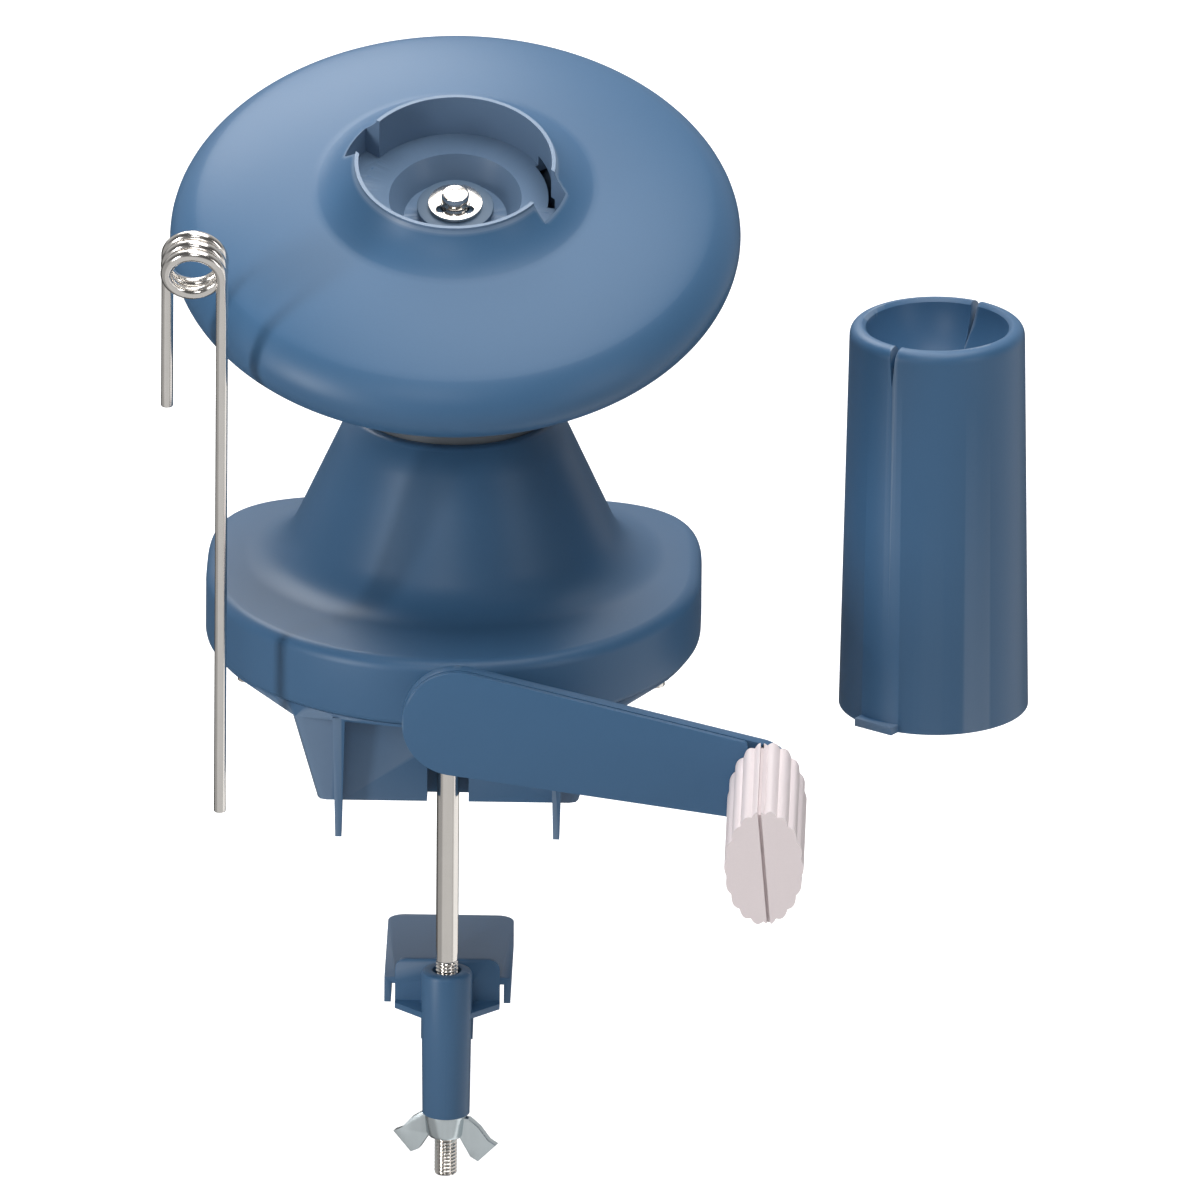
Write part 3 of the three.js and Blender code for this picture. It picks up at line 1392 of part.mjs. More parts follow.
// Assembly on the crank axis
piece("front_crank_bush", flangedBush(crankShaftRadius + runningGap, frontBushRadius, frontBushFlangeRadius,
  frontFace - frontBushLength, frontFace + faceGap + frontBushFlangeThickness,
  frontBushFlangeThickness, true), whitePlastic, crankGroup);
piece("rear_crank_bush", flangedBush(crankShaftRadius + runningGap, frontBushRadius, frontBushFlangeRadius,
  bearingPostSetback, bearingPostSetback + bearingPostThickness + faceGap + frontBushFlangeThickness,
  frontBushFlangeThickness, true), whitePlastic, crankGroup);
piece("shaft_collar", tube(crankShaftRadius + seatGap, shaftCollarRadius - runningGap,
  frontFace - frontBushLength - faceGap - shaftCollarThickness, frontFace - frontBushLength - faceGap),
brightSteel, crankGroup);
piece("crank_shaft", crankShaft(), brightSteel, crankGroup);
piece("crown_wheel", crownWheel(), whitePlastic, crankGroup);
piece("crank_arm", crankArm(), slatePlastic, crankGroup);
piece("crank_cover", crankCover(), slatePlastic, crankGroup);
piece("crank_screw", crankScrew(), brightSteel, crankGroup);
piece("grip_pin", gripPin(), brightSteel, crankGroup);
piece("grip", grip(), gripPlastic, crankGroup);

// Clamp assembly
const clampGroup = new THREE.Group();
clampGroup.position.y = -rodSetback;
group.add(clampGroup);
piece("clamp_rod", clampRod(), brightSteel, clampGroup);
piece("rod_anchor_nut", cut(hexagon(nutAcrossFlats, rodTop - nutThickness, rodTop - faceGap),
  rod(rodBoreRadius, 0, rodTop + overrun)), zincPlate, clampGroup);
piece("clamp_jaw", clampJaw(), slatePlastic, clampGroup);
piece("wing_nut", wingNut(), zincPlate, clampGroup);

// Loose members of the set
piece("bobbin", bobbin(), slatePlastic);
piece("yarn_guide", yarnGuide(), brightSteel);

console.log("least gap between the guide's turns: " + leastTurnGap().toFixed(2) + " mm");

export default group;
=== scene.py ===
# A hand-cranked yarn ball winder with its table clamp, its bobbin and its yarn guide.
# Shapes are worked out in millimetres in the winder's own frame, and become metres when a mesh is made.
import math

import bmesh
import bpy
from mathutils import Matrix, Vector


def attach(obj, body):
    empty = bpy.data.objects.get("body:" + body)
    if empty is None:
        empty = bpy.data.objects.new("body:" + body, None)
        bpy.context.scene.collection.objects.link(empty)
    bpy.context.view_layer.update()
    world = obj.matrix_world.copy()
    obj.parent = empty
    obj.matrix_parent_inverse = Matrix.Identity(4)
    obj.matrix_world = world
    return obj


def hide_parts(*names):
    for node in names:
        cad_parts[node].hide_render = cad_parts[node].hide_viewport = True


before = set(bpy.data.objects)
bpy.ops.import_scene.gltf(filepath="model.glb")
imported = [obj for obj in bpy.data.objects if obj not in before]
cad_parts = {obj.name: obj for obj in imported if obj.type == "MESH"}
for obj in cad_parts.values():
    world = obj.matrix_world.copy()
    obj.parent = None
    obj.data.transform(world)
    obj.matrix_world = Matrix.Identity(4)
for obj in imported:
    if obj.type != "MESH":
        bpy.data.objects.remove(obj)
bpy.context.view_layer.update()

MM = 0.001
MERGE_DISTANCE = 0.0005
FLAT_ANGLE = math.radians(1)
SMOOTH_ANGLE = math.radians(32)
RUNNING_GAP = 0.3
SEAT_GAP = 0.2
FACE_GAP = 0.3
OVERRUN = 2


# Axes of the winder

def about_z(degrees):
    return Matrix.Rotation(math.radians(degrees), 4, "Z")


TILT = math.radians(21.2)
CROSSING_HEIGHT = 100
CRANK_AXIS_HEIGHT = 34.2
ROD_SETBACK = 62.5
own_place = Matrix()
on_edge = Matrix.Rotation(math.pi / 2, 4, "X")
tilted_place = Matrix.Translation((0, 0, CROSSING_HEIGHT)) @ Matrix.Rotation(TILT, 4, "X")
crank_place = Matrix.Translation((0, 0, CRANK_AXIS_HEIGHT)) @ on_edge
clamp_place = Matrix.Translation((0, -ROD_SETBACK, 0))


# Forms: points in millimetres and the faces between them

class Form:
    def __init__(self, points, faces):
        self.points = [Vector(point) for point in points]
        self.faces = faces

    def placed(self, matrix):
        return Form([matrix @ point for point in self.points], self.faces)

    def moved(self, x, y, z):
        return self.placed(Matrix.Translation((x, y, z)))


def round_point(radius, angle, *height):
    return (radius * math.cos(angle), radius * math.sin(angle), *height)


def full_turn(count):
    return [2 * math.pi * i / count for i in range(count)]


def band(low, high):
    """The faces between two loops of point numbers."""
    faces = []
    for i in range(len(low)):
        after = (i + 1) % len(low)
        face = list(dict.fromkeys((low[i], low[after], high[after], high[i])))
        if len(face) > 2:
            faces.append(face)
    return faces


def turned(profile, sides=96):
    """A closed outline of radius and height, turned about the Z axis."""
    points = []
    rings = []
    for radius, height in profile:
        if radius == 0:
            rings.append([len(points)] * sides)
            points.append((0, 0, height))
        else:
            rings.append(range(len(points), len(points) + sides))
            points += [round_point(radius, angle, height) for angle in full_turn(sides)]
    pairs = list(zip(rings, rings[1:]))
    if profile[0][0] > 0 or profile[-1][0] > 0:
        pairs.append((rings[-1], rings[0]))
    return Form(points, [face for low, high in pairs for face in band(low, high)])


def rod(radius, low, high, sides=48):
    return turned([(0, low), (radius, low), (radius, high), (0, high)], sides)


def plate(outline, low, high):
    count = len(outline)
    points = [(x, y, height) for height in (low, high) for x, y in outline]
    below = range(count)
    above = range(count, 2 * count)
    return Form(points, [below[::-1], above, *band(below, above)])


def block(low_x, high_x, low_y, high_y, low_z, high_z):
    return plate([(low_x, low_y), (high_x, low_y), (high_x, high_y), (low_x, high_y)], low_z, high_z)


def hull(points):
    mesh = bmesh.new()
    for point in points:
        mesh.verts.new(point)
    made = bmesh.ops.convex_hull(mesh, input=mesh.verts)
    spare = {item for key in ("geom_interior", "geom_unused") for item in made[key]}
    loose = [item for item in spare if isinstance(item, bmesh.types.BMVert)]
    bmesh.ops.delete(mesh, geom=loose, context="VERTS")
    bmesh.ops.dissolve_limit(mesh, angle_limit=FLAT_ANGLE, verts=mesh.verts, edges=mesh.edges)
    mesh.verts.index_update()
    faces = [[vertex.index for vertex in face.verts] for face in mesh.faces]
    form = Form([vertex.co.copy() for vertex in mesh.verts], faces)
    mesh.free()
    return form


def loops_joined(rings, wrapped):
    """The faces from each loop of points to the next, and from the last to the first if wrapped."""
    loop = len(rings[0])
    starts = [i * loop for i in range(len(rings))]
    faces = []
    for here, after in zip(starts, starts[1:] + starts[:wrapped]):
        faces += band(range(here, here + loop), range(after, after + loop))
    return faces


def arc(centre_x, centre_y, radius, start, end, steps):
    """Points on an arc, with its angles in degrees."""
    found = []
    for i in range(steps + 1):
        x, y = round_point(radius, math.radians(start + (end - start) * i / steps))
        found.append((centre_x + x, centre_y + y))
    return found


def bezier(corners, steps):
    """Points on a curve with three or four control points."""
    found = []
    order = len(corners) - 1
    for i in range(steps + 1):
        share = i / steps
        x = y = 0
        for k, (corner_x, corner_y) in enumerate(corners):
            weight = math.comb(order, k) * share ** k * (1 - share) ** (order - k)
            x += weight * corner_x
            y += weight * corner_y
        found.append((x, y))
    return found


def rounded_top(half_width, low, high, corner):
    """A box outline whose two upper corners are round."""
    inner = half_width - corner
    right = arc(inner, high - corner, corner, 0, 90, 10)
    left = arc(-inner, high - corner, corner, 90, 180, 10)
    return [(half_width, low), *right, *left, (-half_width, low)]


def ring_part(outer, inner, start, outer_end, inner_end, steps):
    """Part of a flat ring, whose outer and inner edges may end at different angles."""
    return arc(0, 0, outer, start, outer_end, steps) + arc(0, 0, inner, inner_end, start, steps)


def rounded_edge(radius, top, places):
    """The points of a rounded upper edge, given by how far each lies inwards and down."""
    return [(radius - inward, top - down) for inward, down in places]


# Meshes

def put_in_scene(name, data):
    made = bpy.data.objects.new(name, data)
    bpy.context.scene.collection.objects.link(made)
    return made


def merge(mesh):
    """Joins the points that fall together and turns the faces outwards."""
    work = bmesh.new()
    work.from_mesh(mesh)
    bmesh.ops.remove_doubles(work, verts=work.verts, dist=MERGE_DISTANCE * MM)
    bmesh.ops.recalc_face_normals(work, faces=work.faces)
    work.to_mesh(mesh)
    work.free()


def mesh_of(name, form):
    mesh = bpy.data.meshes.new(name)
    mesh.from_pydata([point * MM for point in form.points], [], form.faces)
    merge(mesh)
    return put_in_scene(name, mesh)


def plain_mesh(made):
    """The mesh that an object has once its modifiers have done their work."""
    bpy.context.view_layer.update()
    return bpy.data.meshes.new_from_object(made.evaluated_get(bpy.context.evaluated_depsgraph_get()))


def settle(made):
    """Turns an object with modifiers into a plain mesh."""
    plain = plain_mesh(made)
    old = made.data
    made.modifiers.clear()
    made.data = plain
    bpy.data.meshes.remove(old)


def discard(made):
    old = made.data
    bpy.data.objects.remove(made)
    bpy.data.meshes.remove(old)


def form_of(made):
    """Takes an object back to a form and removes it."""
    faces = [list(face.vertices) for face in made.data.polygons]
    form = Form([vertex.co / MM for vertex in made.data.vertices], faces)
    discard(made)
    return form


def combine(name, place, base, joins=(), cuts=()):
    """Joins forms to a base and then cuts others out of it, all set in one place."""
    made = mesh_of(name, base.placed(place))
    tools = []
    for operation, forms in (("UNION", joins), ("DIFFERENCE", cuts)):
        for form in forms:
            tool = mesh_of(name + "_tool", form.placed(place))
            change = made.modifiers.new(operation, "BOOLEAN")
            change.operation = operation
            change.solver = "MANIFOLD"
            change.object = tool
            tools.append(tool)
    settle(made)
    for tool in tools:
        discard(tool)
    return made


def soften(made, width, segments=2, angle=34):
    """Rounds the sharp edges as moulding or tumbling leaves them."""
    edge = made.modifiers.new("edge", "BEVEL")
    edge.width = width * MM
    edge.segments = segments
    edge.limit_method = "ANGLE"
    edge.angle_limit = math.radians(angle)
    edge.miter_outer = "MITER_ARC"
    edge.use_clamp_overlap = True
    settle(made)


def present(made, body, material, node, *rounding):
    """Rounds a piece's edges and gives it its finish and its place in the moving model."""
    if rounding:
        soften(made, *rounding)
    mesh = made.data
    mesh.shade_smooth()
    mesh.set_sharp_from_angle(angle=SMOOTH_ANGLE)
    mesh.materials.clear()
    mesh.materials.append(material)
    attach(made, body)
    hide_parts(node)


# Materials

class Wiring:
    """Adds nodes to a tree, and feeds them numbers, colours or other nodes' outputs."""

    def __init__(self, tree):
        self.tree = tree

    def feed(self, node, inputs):
        for label, value in inputs.items():
            if isinstance(value, bpy.types.NodeSocket):
                self.tree.links.new(value, node.inputs[label])
            else:
                node.inputs[label].default_value = value

    def add(self, kind, inputs=None, **settings):
        made = self.tree.nodes.new(kind)
        for label, value in settings.items():
            setattr(made, label, value)
        self.feed(made, inputs or {})
        return made.outputs

    def maths(self, operation, first, second):
        return self.add("ShaderNodeMath", {0: first, 1: second}, operation=operation)[0]

    def swing(self, value, size):
        """A value from 0 to 1 as a swing about zero."""
        return self.maths("MULTIPLY", self.maths("SUBTRACT", value, 0.5), size)

    def noise(self, place, scale, detail, roughness=0.5):
        settings = {"Vector": place, "Scale": scale, "Detail": detail, "Roughness": roughness}
        return self.add("ShaderNodeTexNoise", settings)["Fac"]

    def tinted(self, colour, first, second):
        """A colour made lighter or darker by two small swings."""
        lift = self.maths("ADD", self.maths("ADD", first, second), 1.0)
        return self.add("ShaderNodeVectorMath", {0: colour, "Scale": lift}, operation="SCALE")["Vector"]

    def bumped(self, depth, height):
        return self.add("ShaderNodeBump", {"Distance": depth, "Height": height})["Normal"]


def srgb(red, green, blue):
    """A colour written as it looks on a screen, from 0 to 255."""
    linear = []
    for part in (red, green, blue):
        share = part / 255
        linear.append(share / 12.92 if share <= 0.04045 else ((share + 0.055) / 1.055) ** 2.4)
    return (*linear, 1)


def new_skin(name, inputs):
    """A node group with named inputs that gives a colour, a roughness and a normal."""
    group = bpy.data.node_groups.new(name, "ShaderNodeTree")
    for label, value in inputs.items():
        kind = "Float" if isinstance(value, float) else {3: "Vector", 4: "Color"}[len(value)]
        socket = group.interface.new_socket(label, in_out="INPUT", socket_type="NodeSocket" + kind)
        socket.default_value = value
    for label, kind in (("Colour", "Color"), ("Roughness", "Float"), ("Normal", "Vector")):
        group.interface.new_socket(label, in_out="OUTPUT", socket_type="NodeSocket" + kind)
    wires = Wiring(group)
    return wires, wires.add("NodeGroupInput"), wires.add("ShaderNodeTexCoord")["Object"]


# Colour of the painted highlight on sharp edges, and the pointiness range over which it fades in
PAINTED_EDGE_HIGHLIGHT = (0.75, 0.8, 0.85, 1)
EDGE_FROM = 0.53
EDGE_TO = 0.66
CLOUD_SCALE = 38.0
GRAIN_TINT = 0.06
MARK_SCALE = 160.0
LINE_TINT = 0.08


def moulded_skin():
    """The skin that a spark-eroded mould leaves on plastic: fine grain and slight clouding, with a painted
    highlight that makes edges paler and smoother.
    """
    wires, given, place = new_skin("moulded_skin", {
        "Colour": (0.5, 0.5, 0.5, 1), "Roughness": 0.5, "Grain scale": 1600.0, "Grain depth": 0.00001,
        "Clouding": 0.04, "Painted edge highlight": 0.12})
    grain = wires.noise(place, given["Grain scale"], 3.0, 0.6)
    cloud = wires.noise(place, CLOUD_SCALE, 3.0)
    # Painted highlight: edges found by pointiness are blended towards a pale colour and made smoother, as if
    # they caught the light
    shape = wires.add("ShaderNodeNewGeometry")["Pointiness"]
    edge = wires.add("ShaderNodeMapRange", {"Value": shape, "From Min": EDGE_FROM, "From Max": EDGE_TO})
    edge_highlight = wires.maths("MULTIPLY", edge["Result"], given["Painted edge highlight"])
    shift = wires.swing(cloud, given["Clouding"])
    tint = wires.tinted(given["Colour"], shift, wires.swing(grain, GRAIN_TINT))
    pale = wires.add("ShaderNodeMix", {"Factor": edge_highlight, 6: tint, 7: PAINTED_EDGE_HIGHLIGHT}, data_type="RGBA")[2]
    smoother = wires.maths("ADD", shift, wires.maths("MULTIPLY", edge_highlight, -0.5))
    wires.add("NodeGroupOutput", {"Colour": pale, "Normal": wires.bumped(given["Grain depth"], grain),
                                  "Roughness": wires.maths("ADD", given["Roughness"], smoother)})
    return wires.tree


def metal_skin():
    """Drawn or plated metal: fine lines along one direction, faint handling marks and a slight tint."""
    wires, given, place = new_skin("metal_skin", {
        "Colour": (0.7, 0.7, 0.7, 1), "Roughness": 0.2, "Line stretch": (900.0, 900.0, 40.0),
        "Line depth": 0.000002, "Marks": 0.1})
    stretched = wires.add("ShaderNodeVectorMath", {0: place, 1: given["Line stretch"]}, operation="MULTIPLY")
    lines = wires.noise(stretched["Vector"], 1.0, 2.0)
    marks = wires.swing(wires.noise(place, MARK_SCALE, 4.0, 0.6), given["Marks"])
    swings = (marks, wires.swing(lines, LINE_TINT))
    rough = wires.maths("ADD", given["Roughness"], wires.maths("ADD", *swings))
    wires.add("NodeGroupOutput", {"Colour": wires.tinted(given["Colour"], *swings), "Roughness": rough,
                                  "Normal": wires.bumped(given["Line depth"], lines)})
    return wires.tree


def finish(name, skin, sockets, screen_colour, roughness):
    """A Principled material whose colour, roughness and normal come from a shared skin."""
    material = bpy.data.materials.new(name)
    material.use_nodes = True
    material.diffuse_color = srgb(*screen_colour)
    wires = Wiring(material.node_tree)
    settings = {"Colour": srgb(*screen_colour), "Roughness": roughness}
    skinned = wires.add("ShaderNodeGroup", settings, node_tree=skin)
    shader = wires.tree.nodes["Principled BSDF"]
    wires.feed(shader, {"Base Color": skinned["Colour"], "Roughness": skinned["Roughness"],
                        "Normal": skinned["Normal"], **sockets})
    return material


moulded = (moulded_skin(), {"IOR": 1.42})
drawn = (metal_skin(), {"Metallic": 1.0})
slate_plastic = finish("slate_plastic", *moulded, (61, 98, 133), 0.42)
bush_plastic = finish("slate_bush_plastic", *moulded, (80, 102, 124), 0.4)
# Near-black plastic for the rotor head: painted shade, standing in for the shade that falls under the disc
dark_plastic = finish("dark_plastic", *moulded, (38, 48, 58), 0.5)
white_plastic = finish("white_plastic", *moulded, (226, 224, 217), 0.42)
grip_plastic = finish("grip_plastic", *moulded, (231, 217, 217), 0.5)
bright_steel = finish("bright_steel", *drawn, (226, 221, 215), 0.16)
guide_steel = finish("guide_steel", *drawn, (226, 222, 217), 0.17)
zinc_plate = finish("zinc_plate", *drawn, (205, 214, 217), 0.24)


# Neck and flange, in one moulding

NECK_TOP = 86
NECK_FLAT_RADIUS = 26.3
NECK_EDGE = 2
NECK_SLOPE = 0.458
NECK_LEAN = 24
NECK_FOOT = 55
NECK_BLEND_RADIUS = 57
NECK_WALL = 2.8
WELL_HOLE_RADIUS = 25.1
DECK_TOP = 79
DECK_THICKNESS = 3
BEARING_BOSS_RADIUS = 11.5
BEARING_BOSS_DEPTH = 6
BEARING_RADIUS = 8.5
FLANGE_TOP = 45.5
FLANGE_BOTTOM = 27
FLANGE_HALF_WIDTH = 65.9
FLANGE_FRONT_DEPTH = 71
FLANGE_BACK_DEPTH = 55.5
FLANGE_CENTRE_SETBACK = 10
FLANGE_FRONT_POWER = 2
FLANGE_BACK_POWER = 4
FLANGE_TOP_EDGE = 3.5
FLANGE_BOTTOM_EDGE = 1.8
FLANGE_WALL = 3
FLANGE_ROOF = 2.7
SQUEEZE_POWER = 14
SQUEEZE_MARGIN = 1
SHELL_SECTIONS = 192
FRONT_BOSS_RADIUS = 7
FRONT_BUSH_LENGTH = 11.3
FRONT_BUSH_RADIUS = 4.8
SHELL_FRONT = FLANGE_FRONT_DEPTH + FLANGE_CENTRE_SETBACK
SCREW_PLACES = [(54, -32), (-54, -32), (49, 24), (-49, 24)]
SCREW_BOSS_RADIUS = 4
SCREW_HOLE_RADIUS = 1.6
SCREW_LENGTH = 14
PLATE_TOP = 26.7


def flange_reach(angle):
    """Radius of the flange's plan, a rounded square that is flatter at the back."""
    low = 0.0
    high = FLANGE_FRONT_DEPTH + FLANGE_BACK_DEPTH
    for _ in range(40):
        middle = (low + high) / 2
        x = abs(middle * math.cos(angle))
        y = middle * math.sin(angle) + FLANGE_CENTRE_SETBACK
        front = y < 0
        depth = FLANGE_FRONT_DEPTH if front else FLANGE_BACK_DEPTH
        power = FLANGE_FRONT_POWER if front else FLANGE_BACK_POWER
        if (x / FLANGE_HALF_WIDTH) ** power + (abs(y) / depth) ** power < 1:
            low = middle
        else:
            high = middle
    return low


def neck_point(height):
    return (NECK_FLAT_RADIUS + NECK_EDGE + NECK_SLOPE * (NECK_TOP - height), height)


def shell_section(angle):
    reach = flange_reach(angle)
    room = reach - FLANGE_TOP_EDGE - SQUEEZE_MARGIN - NECK_FLAT_RADIUS
    room /= NECK_BLEND_RADIUS - NECK_FLAT_RADIUS
    squeeze = (1 + room ** -SQUEEZE_POWER) ** (-1 / SQUEEZE_POWER)

    def drawn_in(outline, inset=0):
        return [(NECK_FLAT_RADIUS + (r - NECK_FLAT_RADIUS) * squeeze - inset, z) for r, z in outline]

    neck_edge = arc(NECK_FLAT_RADIUS, NECK_TOP - NECK_EDGE, NECK_EDGE, 90, NECK_LEAN, 6)
    foot = neck_point(NECK_FOOT)
    slope = bezier([neck_point(NECK_TOP - NECK_EDGE), foot], 5)
    blend = bezier([foot, neck_point(FLANGE_TOP), (NECK_BLEND_RADIUS, FLANGE_TOP)], 16)
    deck_under = DECK_TOP - DECK_THICKNESS
    boss_under = deck_under - BEARING_BOSS_DEPTH
    roof_under = FLANGE_TOP - FLANGE_ROOF
    edges = ((FLANGE_TOP - FLANGE_TOP_EDGE, FLANGE_TOP_EDGE, 90, 0, 8),
             (FLANGE_BOTTOM + FLANGE_BOTTOM_EDGE, FLANGE_BOTTOM_EDGE, 0, -90, 4))
    outline = [(WELL_HOLE_RADIUS, NECK_TOP), *drawn_in(neck_edge + slope[:-1] + blend)]
    for height, edge, start, end, steps in edges:
        outline += arc(reach - edge, height, edge, start, end, steps)
    outline += [
        (reach - FLANGE_WALL, FLANGE_BOTTOM),
        (reach - FLANGE_WALL, roof_under),
        *drawn_in([(NECK_BLEND_RADIUS, roof_under)], FLANGE_TOP_EDGE),
        *drawn_in([(foot[0], NECK_FOOT - FLANGE_ROOF), neck_point(deck_under)], NECK_WALL),
        (BEARING_BOSS_RADIUS, deck_under),
        (BEARING_BOSS_RADIUS, boss_under),
        (BEARING_RADIUS, boss_under),
        (BEARING_RADIUS, DECK_TOP),
        (WELL_HOLE_RADIUS, DECK_TOP),
    ]
    return [round_point(r, angle, z) for r, z in outline]


def at_screws(form):
    return [form.moved(x, y, 0) for x, y in SCREW_PLACES]


def make_shell():
    rings = [shell_section(angle) for angle in full_turn(SHELL_SECTIONS)]
    inner_end = SHELL_FRONT - FRONT_BUSH_LENGTH
    boss = rod(FRONT_BOSS_RADIUS, inner_end, SHELL_FRONT - FLANGE_WALL / 2)
    below = block(-FRONT_BOSS_RADIUS - OVERRUN, FRONT_BOSS_RADIUS + OVERRUN,
                  -SHELL_FRONT + FLANGE_WALL / 2, -inner_end + OVERRUN, 0, FLANGE_BOTTOM)
    bore = rod(FRONT_BUSH_RADIUS, inner_end - OVERRUN, SHELL_FRONT + OVERRUN)
    pillars = at_screws(rod(SCREW_BOSS_RADIUS, FLANGE_BOTTOM, FLANGE_TOP - FLANGE_ROOF / 2))
    pilots = at_screws(rod(SCREW_HOLE_RADIUS, 0, PLATE_TOP + SCREW_LENGTH, 24))
    shell = Form([point for ring in rings for point in ring], loops_joined(rings, True))
    made = combine("shell_moulding", own_place, shell, [boss.placed(crank_place), *pillars],
                   [bore.placed(crank_place), below, *pilots])
    present(made, "base", slate_plastic, "body_shell")


# Foot: bottom plate, hollow box, rod block with its notch, bearing post and stop fins

PLATE_BOTTOM = 23.3
PLATE_INSET = 1.8
PLATE_RIM = 0.8
FOOT_HALF_WIDTH = 41.3
FOOT_FRONT = 65
FOOT_CORNER = 2.4
FOOT_CORNER_SAG = 0.7
FOOT_SIDE_END = 2
FOOT_BACK = 24
FOOT_BACK_HALF_WIDTH = 34
FOOT_WALL = 2.5
FOOT_FLOOR = 2.6
FOOT_TAPER = 6.7
FOOT_BOSS_RADIUS = 6.5
FOOT_BOSS_TOP = 10
FOOT_BUSH_RADIUS = 4.7
POST_HALF_WIDTH = 8.5
POST_FRONT = 31
POST_BACK = 25
POST_RISE = 7.5
NOTCH_WIDTH = 11
NOTCH_DEPTH = 6.7
NOTCH_HEIGHT = 14
ROD_BLOCK_WALL = 2.6
ROD_BLOCK_DEPTH = 13
ROD_BLOCK_TOP = 22
ROD_BORE_RADIUS = 3.2
NUT_POCKET_FLATS = 10.4
ROD_TOP = 21.6
NUT_THICKNESS = 4.6
FIN_OFFSET = 28.9
FIN_DROP = 8.7
# Half the thickness and the depth of a stop fin, at the plate and at its tip
FIN_ROOT = (1.65, 7)
FIN_TIP = (0.85, 4.5)


def foot_corners(inset, height):
    drawn = inset + FOOT_TAPER * (1 - height / PLATE_BOTTOM)
    front = FOOT_FRONT - inset
    half = FOOT_HALF_WIDTH - drawn
    half_outline = [(half - FOOT_CORNER, -front), (half - FOOT_CORNER_SAG, -front + FOOT_CORNER_SAG),
                    (half, -front + FOOT_CORNER), (half, -FOOT_SIDE_END),
                    (FOOT_BACK_HALF_WIDTH - drawn, FOOT_BACK - drawn)]
    return [(side * x, y, height) for x, y in half_outline for side in (1, -1)]


def foot_hull(inset, low, high):
    return hull(foot_corners(inset, low) + foot_corners(inset, high))


def sloped_plate():
    """The plate under the flange, whose underside slopes down to the foot's top edge."""
    corners = foot_corners(0, PLATE_BOTTOM)
    for angle in full_turn(SHELL_SECTIONS):
        for height in (PLATE_TOP - PLATE_RIM, PLATE_TOP):
            corners.append(round_point(flange_reach(angle) - PLATE_INSET, angle, height))
    return hull(corners)


def stop_fin(x):
    back = -FOOT_FRONT + FOOT_WALL / 2
    corners = [(x + side, -FOOT_FRONT, 0) for side in (-1, 1)]
    for (half, depth), height in ((FIN_ROOT, PLATE_TOP - PLATE_RIM), (FIN_TIP, -FIN_DROP)):
        for side in (-half, half):
            corners.append((x + side, back if height > 0 else -FOOT_FRONT, height))
            corners.append((x + side, -FOOT_FRONT - depth, height))
    return hull(corners)


def hexagon(across_flats, low, high):
    return plate([round_point(across_flats / math.sqrt(3), angle) for angle in full_turn(6)], low, high)


def make_foot():
    half_block = NOTCH_WIDTH / 2 + ROD_BLOCK_WALL
    hollow = foot_hull(FOOT_WALL, FOOT_FLOOR, PLATE_TOP + OVERRUN)
    box = combine("foot_box", own_place, foot_hull(0, 0, PLATE_BOTTOM + SEAT_GAP), [sloped_plate()], [hollow])
    rod_block = block(-half_block, half_block, -FOOT_FRONT, -FOOT_FRONT + ROD_BLOCK_DEPTH, 0, ROD_BLOCK_TOP)
    boss = rod(FOOT_BOSS_RADIUS, FOOT_FLOOR / 2, FOOT_BOSS_TOP)
    post = block(-POST_HALF_WIDTH, POST_HALF_WIDTH, -POST_FRONT, -POST_BACK, FOOT_FLOOR / 2,
                 CRANK_AXIS_HEIGHT + POST_RISE)
    notch = block(-NOTCH_WIDTH / 2, NOTCH_WIDTH / 2, -FOOT_FRONT - OVERRUN, -FOOT_FRONT + NOTCH_DEPTH,
                  -OVERRUN, NOTCH_HEIGHT)
    rod_bore = rod(ROD_BORE_RADIUS, NOTCH_HEIGHT - OVERRUN, ROD_BLOCK_TOP + OVERRUN)
    pocket = hexagon(NUT_POCKET_FLATS, ROD_TOP - NUT_THICKNESS - FACE_GAP, ROD_BLOCK_TOP + OVERRUN)
    bush_pocket = rod(FOOT_BUSH_RADIUS, FOOT_FLOOR, FOOT_BOSS_TOP + OVERRUN)
    post_bore = rod(FRONT_BUSH_RADIUS, POST_BACK - OVERRUN, POST_FRONT + OVERRUN)
    pads = at_screws(rod(SCREW_BOSS_RADIUS, PLATE_BOTTOM, PLATE_TOP - PLATE_RIM / 2))
    holes = at_screws(rod(SCREW_HOLE_RADIUS, 0, PLATE_TOP + OVERRUN, 24))
    made = combine("foot_moulding", own_place, form_of(box),
                   [rod_block, boss, post, *pads, stop_fin(FIN_OFFSET), stop_fin(-FIN_OFFSET)],
                   [notch, rod_bore.placed(clamp_place), pocket.placed(clamp_place), bush_pocket,
                    post_bore.placed(crank_place), *holes])
    present(made, "base", slate_plastic, "base_housing", 0.35)


# Winding disc, about the tilted axis with the crossing as zero

RIM_LIFT = 45.05
RIM_RADIUS = 75.7
LIP_DEPTH = 7.6
LIP_RADIUS = 70.4
DISC_WALL = 2.3
DOME_HEIGHT = 19.3
DOME_REACH = 79.4
DOME_EDGE = 68.4
COLLAR_RADIUS = 26.65
COLLAR_WALL = 1
COLLAR_RISE = 26.35
COLLAR_DEPTH = 12.9
COLLAR_FLOOR = 2.3
FLARE_RADIUS = 37
FLARE_REACH = 4.5
FLARE_LIFT = 2.5
FLARE_START_SHARE = 0.03
WELL_RADIUS = 17.6
WELL_FLOOR_RADIUS = 13.7
WELL_DEPTH = 6.7
WELL_WALL = 2.2
HUB_BORE = 5.6
HUB_RADIUS = 8.4
HUB_FOOT = 9
HUB_BOSS_RADIUS = 9
SKIRT_FOOT = 6.4
SKIRT_FOOT_RADIUS = 27
SKIRT_TOP_RADIUS = 32.4
SKIRT_WALL = 2.7
CLIP_LIFT = 56.2
